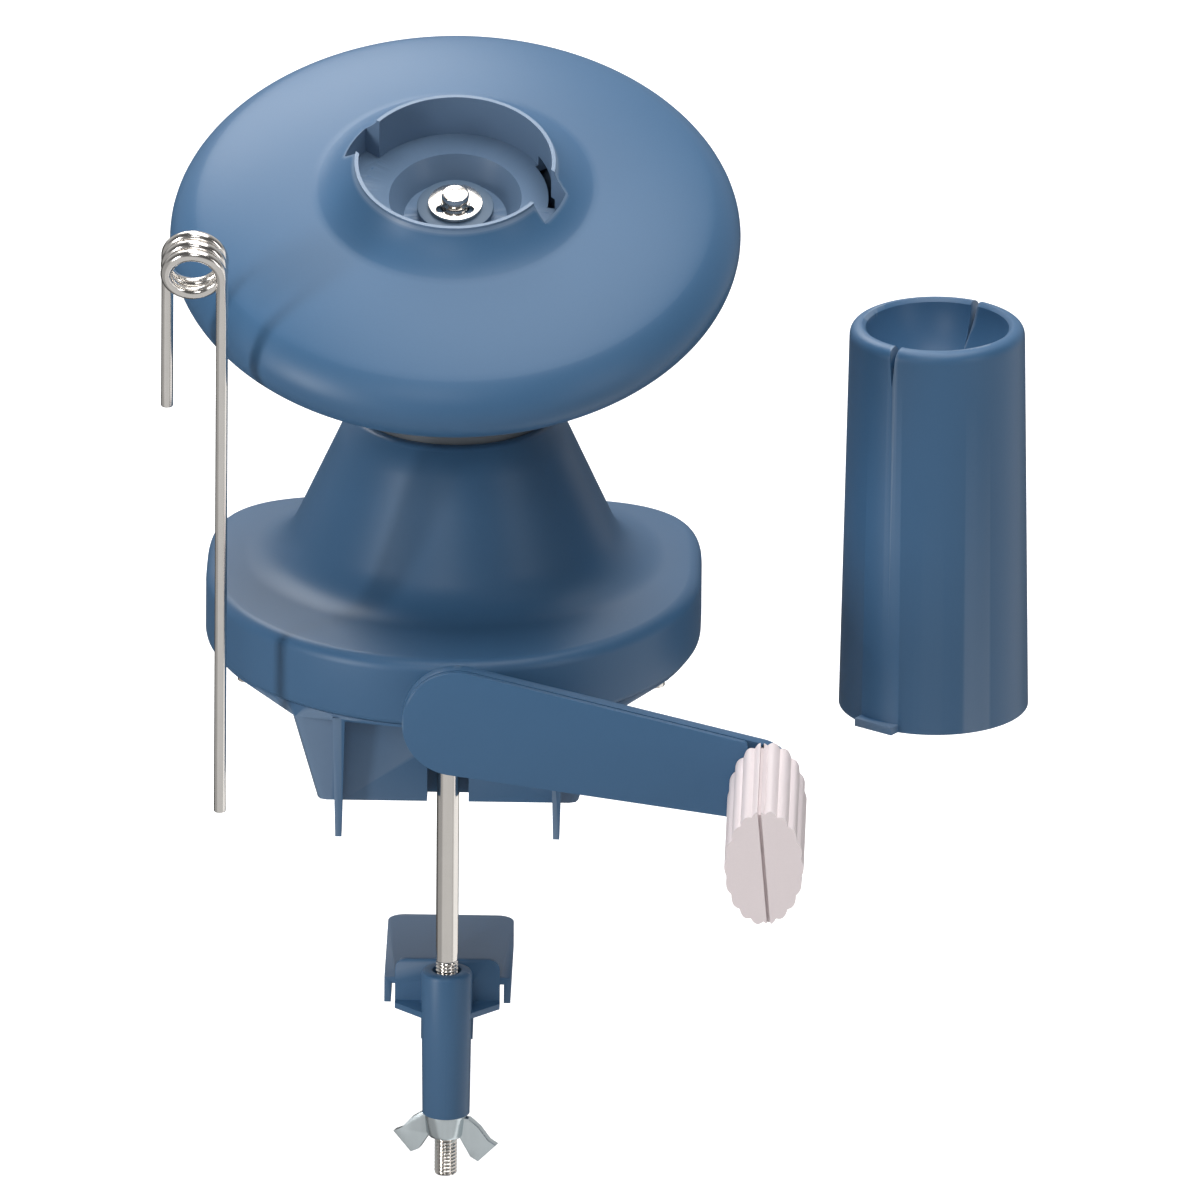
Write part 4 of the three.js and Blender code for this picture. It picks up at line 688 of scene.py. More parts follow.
BUSH_FLANGE = 1.8
COLLAR_TOP = RIM_LIFT + COLLAR_RISE
COLLAR_FLOOR_LIFT = COLLAR_TOP - COLLAR_DEPTH
WELL_FLOOR_LIFT = COLLAR_FLOOR_LIFT - WELL_DEPTH
POCKET_RADIUS = 30.2
SLOT_RADII = (29.4, 24.7)
SLOT_TOP = 3.2
# Where the bayonet pockets and the slots under them lie, in degrees
POCKET_ANGLES = (-37, -13, -4)
SLOT_ANGLES = (-8, 32, 32)


def dome_point(radius, wall=0):
    return (radius, RIM_LIFT + DOME_HEIGHT * math.sqrt(1 - (radius / DOME_REACH) ** 2) - wall)


def make_disc():
    flare_end = dome_point(FLARE_RADIUS)
    flare = bezier([(COLLAR_RADIUS, COLLAR_TOP - COLLAR_RISE * FLARE_START_SHARE),
                    (COLLAR_RADIUS + FLARE_REACH, flare_end[1] + FLARE_LIFT), flare_end], 14)
    width = DOME_EDGE - FLARE_RADIUS
    dome = [dome_point(FLARE_RADIUS + width * i / 18) for i in range(1, 19)]
    edge_lift = dome[-1][1]
    rim = bezier([(DOME_EDGE, edge_lift), (DOME_EDGE + DISC_WALL, edge_lift - DISC_WALL / 2),
                  (RIM_RADIUS, RIM_LIFT + 2 * DISC_WALL), (RIM_RADIUS, RIM_LIFT)], 12)[1:]
    lip_lift = RIM_LIFT - LIP_DEPTH
    lip = bezier([(RIM_RADIUS, RIM_LIFT), (RIM_RADIUS, RIM_LIFT - LIP_DEPTH / 2),
                  (LIP_RADIUS + DISC_WALL, lip_lift), (LIP_RADIUS, lip_lift)], 12)[1:]
    under = [(LIP_RADIUS, lip_lift + DISC_WALL), (RIM_RADIUS - DISC_WALL, RIM_LIFT - LIP_DEPTH / 3),
             (RIM_RADIUS - DISC_WALL, RIM_LIFT + DISC_WALL)]
    under += [dome_point(DOME_EDGE - width * i / 8, DISC_WALL) for i in range(9)]
    collar_inner = COLLAR_RADIUS - COLLAR_WALL
    floor_under = COLLAR_FLOOR_LIFT - COLLAR_FLOOR
    well_under = WELL_FLOOR_LIFT - WELL_WALL
    boss_top = CLIP_LIFT - BUSH_FLANGE - 2 * FACE_GAP
    profile = [
        (HUB_BORE, HUB_FOOT), (HUB_BORE, boss_top), (HUB_BOSS_RADIUS, boss_top),
        (HUB_BOSS_RADIUS, WELL_FLOOR_LIFT), (WELL_FLOOR_RADIUS, WELL_FLOOR_LIFT),
        (WELL_RADIUS, COLLAR_FLOOR_LIFT), (collar_inner, COLLAR_FLOOR_LIFT), (collar_inner, COLLAR_TOP),
        (COLLAR_RADIUS, COLLAR_TOP), *flare, *dome, *rim, *lip, *under,
        (SKIRT_TOP_RADIUS, RIM_LIFT + COLLAR_RISE / 2), (SKIRT_FOOT_RADIUS, SKIRT_FOOT),
        (SKIRT_FOOT_RADIUS - SKIRT_WALL, SKIRT_FOOT), (SKIRT_TOP_RADIUS - SKIRT_WALL, floor_under),
        (WELL_RADIUS + WELL_WALL, floor_under), (WELL_FLOOR_RADIUS + WELL_WALL, well_under),
        (HUB_RADIUS, well_under), (HUB_RADIUS, HUB_FOOT),
    ]
    cuts = []
    for turn in (0, 180):
        pocket = ring_part(POCKET_RADIUS, collar_inner - COLLAR_WALL,
                           *[angle + turn for angle in POCKET_ANGLES], 14)
        slot = ring_part(*SLOT_RADII, *[angle + turn for angle in SLOT_ANGLES], 12)
        cuts.append(plate(pocket, COLLAR_FLOOR_LIFT, COLLAR_TOP + OVERRUN))
        cuts.append(plate(slot, floor_under - OVERRUN, COLLAR_FLOOR_LIFT + SLOT_TOP))
    made = combine("disc_moulding", tilted_place, turned(profile, 192), [], cuts)
    present(made, "disc", slate_plastic, "winding_disc", 0.3)


# Rotor head, a cup cut off square to the tilted axis, with a socket for the arbor on a bracket; its
# near-black plastic is painted shade for the dark band under the disc

HEAD_RADIUS = 24.8
HEAD_WALL = 2.5
HEAD_FLOOR_LIFT = 1.6
HEAD_FLOOR = 3.4
HEAD_FLOOR_BOTTOM = DECK_TOP + HEAD_FLOOR_LIFT
HEAD_FLOOR_TOP = HEAD_FLOOR_BOTTOM + HEAD_FLOOR
HEAD_RIM_LIFT = 5.6
SLEEVE_END = 57.15
SLEEVE_RADIUS = 6
SHAFT_BORE = 3.3
BRACKET_HALF_WIDTH = 10
BRACKET_LIFTS = (-2.5, 0.8)
SOCKET_RADIUS = 6.5
SOCKET_TOP = 7
SOCKET_BORE = 3.9
SOCKET_FLOOR = -1.6


def make_head():
    back = CROSSING_HEIGHT + HEAD_RADIUS
    inner = HEAD_RADIUS - HEAD_WALL
    cup = turned([(SHAFT_BORE, SLEEVE_END), (SLEEVE_RADIUS, SLEEVE_END), (SLEEVE_RADIUS, HEAD_FLOOR_BOTTOM),
                  (HEAD_RADIUS, HEAD_FLOOR_BOTTOM), (HEAD_RADIUS, back), (inner, back),
                  (inner, HEAD_FLOOR_TOP), (SHAFT_BORE, HEAD_FLOOR_TOP)], 128)
    wide = 3 * HEAD_RADIUS
    above = block(-wide, wide, -wide, wide, HEAD_RIM_LIFT, wide)
    open_cup = form_of(combine("head_cup", own_place, cup, [], [above.placed(tilted_place)]))
    arm = block(-BRACKET_HALF_WIDTH, BRACKET_HALF_WIDTH, 0, wide, *BRACKET_LIFTS)
    bracket = form_of(combine("head_bracket", own_place, arm.placed(tilted_place), [],
                              [tube_outside(HEAD_RADIUS - HEAD_WALL / 2, wide * 2)]))
    eye = rod(BRACKET_HALF_WIDTH, *BRACKET_LIFTS, 64)
    socket = rod(SOCKET_RADIUS, BRACKET_LIFTS[0], SOCKET_TOP, 64)
    bore = rod(SOCKET_BORE, SOCKET_FLOOR, SOCKET_TOP + OVERRUN)
    made = combine("head_moulding", own_place, open_cup,
                   [bracket, eye.placed(tilted_place), socket.placed(tilted_place)],
                   [bore.placed(tilted_place)])
    present(made, "head", dark_plastic, "rotor_head", 0.3)


def tube_outside(inner, outer):
    """Everything round an upright cylinder, for cutting a form to it."""
    ring = turned([(inner, -outer), (outer, -outer), (outer, outer), (inner, outer)])
    return ring.moved(0, 0, CROSSING_HEIGHT)


# Arbor, its clip and the bush under it

ARBOR_RADIUS = 3.7
ARBOR_FOOT = -1.3
ARBOR_TIP = 60.4
ARBOR_TIP_EDGE = ((0, 0.6), (0.25, 0.15), (0.8, 0))
GROOVE_ROOM = 0.1
GROOVE_DEPTH = 0.5
CLIP_THICKNESS = 0.9
CLIP_TOP = CLIP_LIFT + CLIP_THICKNESS
CLIP_RADIUS = 7.15
CLIP_GRIP = 0.4
CLIP_MOUTH = 1.6
WINDOW_RADIUS = 1.5
WINDOW_REACH = 4.6
WINDOW_SPREAD = 52
BUSH_BORE = 4
BUSH_RADIUS = 5.4
BUSH_LENGTH = 14
BUSH_FLANGE_RADIUS = 10.2


def make_arbor():
    low = CLIP_LIFT - GROOVE_ROOM
    high = CLIP_TOP + GROOVE_ROOM
    waist = ARBOR_RADIUS - GROOVE_DEPTH
    profile = [(0, ARBOR_FOOT), (ARBOR_RADIUS, ARBOR_FOOT), (ARBOR_RADIUS, low), (waist, low), (waist, high),
               (ARBOR_RADIUS, high), *rounded_edge(ARBOR_RADIUS, ARBOR_TIP, ARBOR_TIP_EDGE), (0, ARBOR_TIP)]
    made = mesh_of("arbor_pin", turned(profile, 64).placed(tilted_place))
    present(made, "head", bright_steel, "arbor", 0.08)


def make_clip():
    bore = ARBOR_RADIUS - CLIP_GRIP
    ring = turned([(bore, CLIP_LIFT), (CLIP_RADIUS, CLIP_LIFT), (CLIP_RADIUS, CLIP_TOP), (bore, CLIP_TOP)])
    through = (CLIP_LIFT - OVERRUN, CLIP_LIFT + OVERRUN)
    cuts = [block(-CLIP_MOUTH, CLIP_MOUTH, 0, CLIP_RADIUS + OVERRUN, *through)]
    for side in (-1, 1):
        spot = round_point(WINDOW_REACH, math.radians(-90 + side * WINDOW_SPREAD), 0)
        cuts.append(rod(WINDOW_RADIUS, *through).moved(*spot))
    made = combine("clip_spring", tilted_place, ring, [], cuts)
    present(made, "head", bright_steel, "retaining_clip", 0.12)


def make_upper_bush():
    top = CLIP_LIFT - FACE_GAP
    step = top - BUSH_FLANGE
    profile = [(BUSH_BORE, step - BUSH_LENGTH), (BUSH_RADIUS, step - BUSH_LENGTH), (BUSH_RADIUS, step),
               (BUSH_FLANGE_RADIUS, step), (BUSH_FLANGE_RADIUS, top), (BUSH_BORE, top)]
    made = mesh_of("hub_bush_collar", turned(profile).placed(tilted_place))
    present(made, "disc", bush_plastic, "upper_hub_bush", 0.25)


# Crank arm with its cover, and the grip

CRANK_DROOP = -13.35
CRANK_REACH = 87.5
ARM_LEAN = -11.1
EYE_OFFSET = 2.95
EYE_RADIUS = 14.55
TIP_RADIUS = 10.6
TIP_REACH = 83.2
ARM_TAPER = math.asin((EYE_RADIUS - TIP_RADIUS) / (TIP_REACH - EYE_OFFSET))
ARM_BACK = 89.5
ARM_BOSS_RADIUS = 7
ARM_BOSS_BACK = 82.6
ARM_THICKNESS = 3.8
ARM_FRONT = ARM_BACK + ARM_THICKNESS
ARM_BORE = 3.7
SCREW_HEAD_BORE = 4.6
SCREW_HEAD_DEPTH = 1.8
PIN_HOLE = 3.2
PEG_REACHES = (24, 62)
PEG_RADIUS = 1.5
PEG_LENGTH = 2.3
PEG_ROOT = 0.8
PEG_HOLE_RADIUS = 1.7
PEG_HOLE_DEPTH = 2.6
COVER_GAP = 0.5
COVER_THICKNESS = 1.7
COVER_BACK = ARM_FRONT + COVER_GAP
COVER_FRONT = COVER_BACK + COVER_THICKNESS
COVER_REACH = 79.6
COVER_CORNER = 1.5
GRIP_WIDTH = 21
GRIP_HEIGHT = 32.2
GRIP_LENGTH = 50.5
GRIP_FLUTES = 18
FLUTE_SHARE = 0.06
GRIP_LEAN = 5
GRIP_BORE = 3.3
GRIP_CAP = 3.2
GRIP_SCREW_BORE = 4.2
GRIP_SCREW_DEPTH = 12.2
SLIT_HALF = 0.45
SLIT_DEPTH = 1.6
along_arm = about_z(ARM_LEAN)
grip_spot = about_z(CRANK_DROOP) @ Vector((CRANK_REACH, 0, 0))


def arm_outline(square_end=False):
    """A round eye and straight edges, with a smaller round tip or a square end."""
    lean = math.degrees(ARM_TAPER)
    eye = arc(EYE_OFFSET, 0, EYE_RADIUS, 90 - lean, 270 + lean, 48)
    if not square_end:
        return eye + arc(TIP_REACH, 0, TIP_RADIUS, -90 + lean, 90 - lean, 36)
    half_end = (EYE_RADIUS - (COVER_REACH - EYE_OFFSET) * math.sin(ARM_TAPER)) / math.cos(ARM_TAPER)
    corner = COVER_REACH - COVER_CORNER
    low = arc(corner, COVER_CORNER - half_end, COVER_CORNER, -90 + lean, 0, 8)
    return eye + low + arc(corner, half_end - COVER_CORNER, COVER_CORNER, 0, 90 - lean, 8)


def at_pegs(radius, low, high):
    return [rod(radius, low, high).moved(*(along_arm @ Vector((reach, 0, 0)))) for reach in PEG_REACHES]


def make_arm():
    body = plate(arm_outline(), ARM_BACK, ARM_FRONT).placed(along_arm)
    boss = rod(ARM_BOSS_RADIUS, ARM_BOSS_BACK, ARM_BACK + ARM_THICKNESS / 2)
    through = ARM_FRONT + OVERRUN
    cuts = [rod(ARM_BORE, 0, through), rod(SCREW_HEAD_BORE, ARM_FRONT - SCREW_HEAD_DEPTH, through),
            rod(PIN_HOLE, 0, through).moved(*grip_spot),
            *at_pegs(PEG_HOLE_RADIUS, ARM_FRONT - PEG_HOLE_DEPTH, through)]
    made = combine("arm_moulding", crank_place, body, [boss], cuts)
    present(made, "crank", slate_plastic, "crank_arm", 0.4, 3)


def make_cover():
    face = plate(arm_outline(True), COVER_BACK, COVER_FRONT).placed(along_arm)
    pegs = at_pegs(PEG_RADIUS, ARM_FRONT - PEG_LENGTH, COVER_BACK + PEG_ROOT)
    made = combine("arm_cover", crank_place, face, pegs)
    present(made, "crank", slate_plastic, "crank_cover", 0.4, 3)


def make_grip():
    outline = []
    for angle in full_turn(GRIP_FLUTES * 12):
        size = 1 - FLUTE_SHARE * (1 - abs(math.cos(GRIP_FLUTES * angle / 2)))
        outline.append((GRIP_WIDTH / 2 * size * math.cos(angle), GRIP_HEIGHT / 2 * size * math.sin(angle)))
    low = COVER_FRONT + RUNNING_GAP
    high = low + GRIP_LENGTH
    under_cap = high - GRIP_CAP
    past = high + OVERRUN
    side_slit = block(-SLIT_HALF, SLIT_HALF, GRIP_HEIGHT / 2 - SLIT_DEPTH, GRIP_HEIGHT, low - OVERRUN, past)
    end_slit = block(-SLIT_HALF, SLIT_HALF, -GRIP_HEIGHT, GRIP_HEIGHT, high - SLIT_DEPTH, past)
    cuts = [rod(GRIP_BORE, low - OVERRUN, under_cap),
            rod(GRIP_SCREW_BORE, high - GRIP_SCREW_DEPTH, under_cap),
            side_slit.placed(about_z(GRIP_LEAN)), end_slit.placed(about_z(GRIP_LEAN))]
    place = crank_place @ Matrix.Translation(grip_spot)
    made = combine("grip_moulding", place, plate(outline, low, high), [], cuts)
    present(made, "handle", grip_plastic, "grip", 0.25, 2, 40)


# Clamp rod with its thread, jaw and wing nut

ROD_RADIUS = 3
ROD_END = 107
ROD_SIDES = 48
ROD_MIDDLE = -10
ROD_CHAMFER = 0.4
ROD_END_CHAMFER = 0.25
THREAD_START = 45.5
THREAD_PITCH = 1
THREAD_DEPTH = 0.42
THREAD_STEPS = 12
THREAD_RUN_IN = 1.5
THREAD_RUN_OUT = 0.5
# A ridge is flat on top for a share of the pitch, and its sides fall with this slope
RIDGE_TOP = 1.3
RIDGE_SLOPE = 2.6
JAW_TOP = 49
JAW_BOTTOM = 89.5
JAW_TOP_RADIUS = 6.8
JAW_BOTTOM_RADIUS = 6.3
JAW_TOP_EDGE = ((0, 1.2), (0.4, 0.35), (1.2, 0))
JAW_BORE = 3.9
JAW_PLATE = 1.8
WALL_SETBACK = 9.3
WALL_HALF_WIDTH = 13.95
WALL_DROP = 13.3
WALL_CORNER = 3
GUSSET_TOP = 11.7
# Half widths and setbacks of the gusset under the wall
GUSSET_EDGE = ((13.95, 8.4), (13.95, 5.5), (6.2, -2))
PAD_DROP = 54.2
PAD_HALF_WIDTH = 16.8
PAD_FRONT = 7.5
PAD_BACK = 53.5
PAD_CORNER = 4.5
SKIRT_DROP = 5.3
RIB_OFFSET = 6
RIB_BACK = 45.2
RIB_BACK_DROP = 3.6
RIB_FOOT = 4.5
RIB_FOOT_DROP = 16.3
NUT_BORE = 3.3
WING_TURN = -20
WING_HALF_THICKNESS = 1.1
WING_LENGTH = 13
# Outlines of the nut's hub and of a wing, as distances from the axis and down from the top
NUT_HUB = ((NUT_BORE, 6.2), (4.6, 6.2), (5.2, 5.2), (5.6, 1.5), (5.6, 0), (NUT_BORE, 0))
NUT_WING = ((4.1, 0.5), (6.7, 0.5), (9.6, 2.6), (12.4, 5.9), (14.6, 7), (9.6, 12.2), (7.4, 11.1), (5.2, 7.6),
            (4.1, 5.7))


def thread_cut(height, angle):
    """How deep the thread is cut at a height and an angle."""
    if height >= -THREAD_START:
        return 0
    phase = (height / THREAD_PITCH - angle / (2 * math.pi)) % 1
    run_in = min(1, (-THREAD_START - height) / THREAD_RUN_IN)
    ridge = max(0, min(1, RIDGE_TOP - abs(phase - 0.5) * RIDGE_SLOPE))
    return THREAD_DEPTH * run_in * (1 - ridge)


def make_clamp_rod():
    """A bright rod whose lower part carries a right-hand thread."""
    turns = (ROD_END - THREAD_START - THREAD_RUN_OUT) / THREAD_PITCH
    heights = [ROD_TOP, ROD_TOP - ROD_CHAMFER, ROD_MIDDLE, -THREAD_START]
    for i in range(1, int(turns * THREAD_STEPS)):
        heights.append(-THREAD_START - i * THREAD_PITCH / THREAD_STEPS)
    heights += [-ROD_END + ROD_END_CHAMFER, -ROD_END]
    rings = []
    for height in heights:
        inset = ROD_CHAMFER if height in (ROD_TOP, -ROD_END) else 0
        rings.append([round_point(ROD_RADIUS - thread_cut(height, angle) - inset, angle, height)
                      for angle in full_turn(ROD_SIDES)])
    points = [point for ring in rings for point in ring]
    ends = [range(ROD_SIDES), range(len(points) - ROD_SIDES, len(points))[::-1]]
    made = mesh_of("rod_threaded", Form(points, ends + loops_joined(rings, False)).placed(clamp_place))
    present(made, "base", bright_steel, "clamp_rod")


def make_jaw():
    post = turned([(JAW_BORE, -JAW_BOTTOM), (JAW_BOTTOM_RADIUS, -JAW_BOTTOM),
                   *rounded_edge(JAW_TOP_RADIUS, -JAW_TOP, JAW_TOP_EDGE), (JAW_BORE, -JAW_TOP)])
    wall = plate(rounded_top(WALL_HALF_WIDTH, -JAW_TOP - WALL_DROP, -JAW_TOP, WALL_CORNER), 0, JAW_PLATE)
    wall = wall.placed(Matrix.Translation((0, WALL_SETBACK, 0)) @ on_edge)
    gusset = plate([(-x, y) for x, y in GUSSET_EDGE] + list(GUSSET_EDGE)[::-1],
                   -JAW_TOP - WALL_DROP, -JAW_TOP - GUSSET_TOP)
    pad_low = -PAD_DROP - JAW_PLATE - SKIRT_DROP
    pad = rounded_top(PAD_HALF_WIDTH, PAD_FRONT, PAD_BACK, PAD_CORNER)
    hollow = rounded_top(PAD_HALF_WIDTH - JAW_PLATE, PAD_FRONT - OVERRUN, PAD_BACK - JAW_PLATE,
                         PAD_CORNER - JAW_PLATE)
    tray = form_of(combine("jaw_tray", own_place, plate(pad, pad_low, -PAD_DROP), [],
                           [plate(hollow, pad_low - OVERRUN, -PAD_DROP - JAW_PLATE)]))
    rib_top = -PAD_DROP - JAW_PLATE / 2
    rib = plate([(JAW_BORE + JAW_PLATE, rib_top), (RIB_BACK, rib_top), (RIB_BACK, -PAD_DROP - RIB_BACK_DROP),
                 (RIB_FOOT, -PAD_DROP - RIB_FOOT_DROP)], -JAW_PLATE / 2, JAW_PLATE / 2)
    rib = rib.placed(Matrix.Rotation(math.pi / 2, 4, "Y") @ about_z(90))
    bore = rod(JAW_BORE, -JAW_BOTTOM - OVERRUN, -JAW_TOP + OVERRUN, 96)
    made = combine("jaw_moulding", clamp_place, post,
                   [wall, gusset, tray, rib.moved(-RIB_OFFSET, 0, 0), rib.moved(RIB_OFFSET, 0, 0)], [bore])
    present(made, "jaw", slate_plastic, "clamp_jaw", 0.35)


def make_wing_nut():
    top = -JAW_BOTTOM - FACE_GAP
    hub = turned([(reach, top - down) for reach, down in NUT_HUB], 64)
    wings = []
    for side in (1, -1):
        outline = [(side * reach, top - down) for reach, down in NUT_WING]
        wings.append(plate(outline, -WING_HALF_THICKNESS, WING_HALF_THICKNESS).placed(on_edge))
    bore = rod(NUT_BORE, top - WING_LENGTH, top + OVERRUN)
    made = combine("wing_casting", clamp_place @ about_z(WING_TURN), hub, wings, [bore])
    present(made, "nut", zinc_plate, "wing_nut", 0.5, 3)


# Bobbin and yarn guide, standing beside the winder

BOBBIN_PLACE = Matrix.Translation((127.8, 13.9, 0))
BOBBIN_HEIGHT = 107.5
BOBBIN_FOOT = 25.3
BOBBIN_TOP = 23.4
BOBBIN_EDGE = 3.4
BOBBIN_MOUTH = 19.1
BOBBIN_WALL = 2.2
BOWL_DEPTH = 19
BOWL_SHOULDER_SHARE = 0.9
WEDGE_HALF_WIDTH = 1.25
WEDGE_DEPTH = 11
WEDGE_ANGLES = (60, 240)
TAB_ANGLES = (55, 235)
TAB_REACH = 2.3
TAB_HALF_WIDTH = 6
TAB_HEIGHT = 2.2


def make_bobbin():
    top = BOBBIN_HEIGHT
    edge = bezier([(BOBBIN_TOP, top - BOBBIN_EDGE), (BOBBIN_TOP, top), (BOBBIN_TOP - BOBBIN_EDGE, top)], 10)
    shoulder = BOBBIN_MOUTH * BOWL_SHOULDER_SHARE
    bowl = bezier([(BOBBIN_MOUTH, top - BOBBIN_EDGE / 4), (shoulder, top - BOWL_DEPTH / 2),
                   (BOBBIN_MOUTH / 2, top - BOWL_DEPTH), (0, top - BOWL_DEPTH)], 20)
    under = top - BOWL_DEPTH - BOBBIN_WALL
    inside = bezier([(0, under), (BOBBIN_MOUTH / 2, under),
                     (shoulder - BOBBIN_WALL / 2, top - BOWL_DEPTH / 2 - BOBBIN_WALL),
                     (BOBBIN_TOP - BOBBIN_WALL, top - BOWL_DEPTH / 3)], 12)
    profile = [*inside, (BOBBIN_FOOT - BOBBIN_WALL, 0), (BOBBIN_FOOT, 0), *edge, *bowl]
    wedge = plate([(-WEDGE_HALF_WIDTH, top + OVERRUN), (0, top - WEDGE_DEPTH),
                   (WEDGE_HALF_WIDTH, top + OVERRUN)], BOBBIN_MOUTH / 2, BOBBIN_TOP + OVERRUN)
    slits = [wedge.placed(about_z(degrees + 90) @ on_edge) for degrees in WEDGE_ANGLES]
    tab = block(BOBBIN_FOOT - BOBBIN_WALL / 2, BOBBIN_FOOT + TAB_REACH, -TAB_HALF_WIDTH, TAB_HALF_WIDTH,
                0, TAB_HEIGHT)
    tabs = [tab.placed(about_z(degrees)) for degrees in TAB_ANGLES]
    made = combine("bobbin_moulding", BOBBIN_PLACE, turned(profile, 160), tabs, slits)
    present(made, "bobbin", slate_plastic, "bobbin", 0.3)


GUIDE_X = -67.6
GUIDE_SETBACK = 74.6
WIRE_RADIUS = 1.62
COIL_RADIUS = 7.35
COIL_TURNS = 2.5
COIL_PITCH = 3.8
COIL_TILT = math.radians(20)
COIL_HEIGHT = 151.8
LEG_BEND = 9
BEND_EASE = 6
SHORT_LEG_END = 111.3


def guide_route():
    """Up the long leg, round the tilted coil and down the short leg, each leg bent below the coil."""

    def on_coil(aside, above, behind):
        back = behind * math.cos(COIL_TILT) - above * math.sin(COIL_TILT)
        rise = behind * math.sin(COIL_TILT) + above * math.cos(COIL_TILT)
        return (GUIDE_X + aside, back - GUIDE_SETBACK - LEG_BEND * math.sin(COIL_TILT), COIL_HEIGHT + rise)

    def eased(before, corner, after):
        return [(corner[0], y, z) for y, z in bezier([before[1:], corner[1:], after[1:]], 8)]

    x, y, top = on_coil(COIL_RADIUS, -LEG_BEND, 0)
    low = (x, y, top - BEND_EASE)
    route = [(x, y, low[2] * i / 12) for i in range(12)]
    route += eased(low, (x, y, top), on_coil(COIL_RADIUS, BEND_EASE - LEG_BEND, 0))
    steps = int(COIL_TURNS * 64)
    for i in range(steps + 1):
        turns = COIL_TURNS * i / steps
        route.append(on_coil(*round_point(COIL_RADIUS, 2 * math.pi * turns), COIL_PITCH * turns))
    far = COIL_PITCH * COIL_TURNS
    x, y, top = on_coil(-COIL_RADIUS, -LEG_BEND, far)
    low = top - BEND_EASE
    route += eased(on_coil(-COIL_RADIUS, BEND_EASE - LEG_BEND, far), (x, y, top), (x, y, low))
    route += [(x, y, low + (SHORT_LEG_END - low) * i / 6) for i in range(1, 7)]
    return route


def wire_tree():
    """Geometry nodes that lay a round wire along a curve and give it its metal."""
    tree = bpy.data.node_groups.new("wire_along_route", "GeometryNodeTree")
    inputs = (("Geometry", "Geometry"), ("Wire radius", "Float"), ("Sides", "Int"), ("Metal", "Material"))
    for label, kind in inputs:
        tree.interface.new_socket(label, in_out="INPUT", socket_type="NodeSocket" + kind)
    tree.interface.new_socket("Geometry", in_out="OUTPUT", socket_type="NodeSocketGeometry")
    wires = Wiring(tree)
    given = wires.add("NodeGroupInput")
    circle = {"Radius": given["Wire radius"], "Resolution": given["Sides"]}
    section = wires.add("GeometryNodeCurvePrimitiveCircle", circle)["Curve"]
    sweep = {"Curve": given["Geometry"], "Profile Curve": section, "Fill Caps": True}
    swept = wires.add("GeometryNodeCurveToMesh", sweep)["Mesh"]
    real = wires.add("GeometryNodeRealizeInstances", {"Geometry": swept})["Geometry"]
    painted = wires.add("GeometryNodeSetMaterial", {"Geometry": real, "Material": given["Metal"]})
    wires.add("NodeGroupOutput", {"Geometry": painted["Geometry"]})
    return tree


def make_guide():
    curve = bpy.data.curves.new("guide_route", "CURVE")
    curve.dimensions = "3D"
    spline = curve.splines.new("POLY")
    route = guide_route()
    spline.points.add(len(route) - 1)
    for spot, (x, y, z) in zip(spline.points, route):
        spot.co = (x * MM, y * MM, z * MM, 1)
    path = put_in_scene("guide_route", curve)
    sweep = path.modifiers.new("wire", "NODES")
    sweep.node_group = wire_tree()
    settings = {"Wire radius": WIRE_RADIUS * MM, "Sides": 24, "Metal": guide_steel}
    for item in sweep.node_group.interface.items_tree:
        if item.in_out == "INPUT" and item.name in settings:
            sweep[item.identifier] = settings[item.name]
    mesh = plain_mesh(path)
    bpy.data.objects.remove(path)
    merge(mesh)
    made = put_in_scene("guide_wire", mesh)
    present(made, "guide", guide_steel, "yarn_guide", 0.35, 3, 60)


for make in (make_shell, make_foot, make_disc, make_head, make_arbor, make_clip, make_upper_bush, make_arm,
             make_cover, make_grip, make_clamp_rod, make_jaw, make_wing_nut, make_bobbin, make_guide):
    make()

# Nodes that keep their own shape get their finish here
node_finishes = (
    (white_plastic, ("neck_bearing_ring", "foot_bush", "drive_pinion", "sun_bevel_gear", "rotor_pinion",
                     "lower_hub_bush", "disc_bevel_gear", "front_crank_bush", "rear_crank_bush",
                     "crown_wheel")),
    (bright_steel, ("drive_shaft", "shaft_collar", "crank_shaft", "crank_screw", "grip_pin", "base_screw_1",
                    "base_screw_2", "base_screw_3", "base_screw_4")),
    (zinc_plate, ("rod_anchor_nut",)),
)
for material, names in node_finishes:
    for name in names:
        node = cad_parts[name]
        shown = node if isinstance(node, bpy.types.Object) else bpy.data.objects[name]
        if shown.material_slots:
            shown.material_slots[0].material = material
        else:
            shown.data.materials.append(material)


# Floor, world, lamps and camera

WHITE = (1, 1, 1, 1)
SKY_COLOUR = (0.95, 0.97, 1.0, 1)
SKY_LEVEL = 0.12
FLOOR_COLOUR = (0.55, 0.55, 0.55, 1)
FLOOR_GLOW = 0.85
FLOOR_HEIGHT = -108.5
FLOOR_HALF = 6000
# Brightness of what mirrors see, by the angle from the camera's side, in degrees, towards +X
MIRRORED = ((-180, 0.1), (-122, 0.1), (-108, 0.4), (-62, 0.4), (-48, 0.66), (48, 0.66), (60, 0.5), (70, 1.1),
            (132, 1.1), (146, 0.1), (180, 0.1))
MIRRORED_ABOVE_FRONT = 0.12
MIRRORED_ABOVE_BACK = 0.7


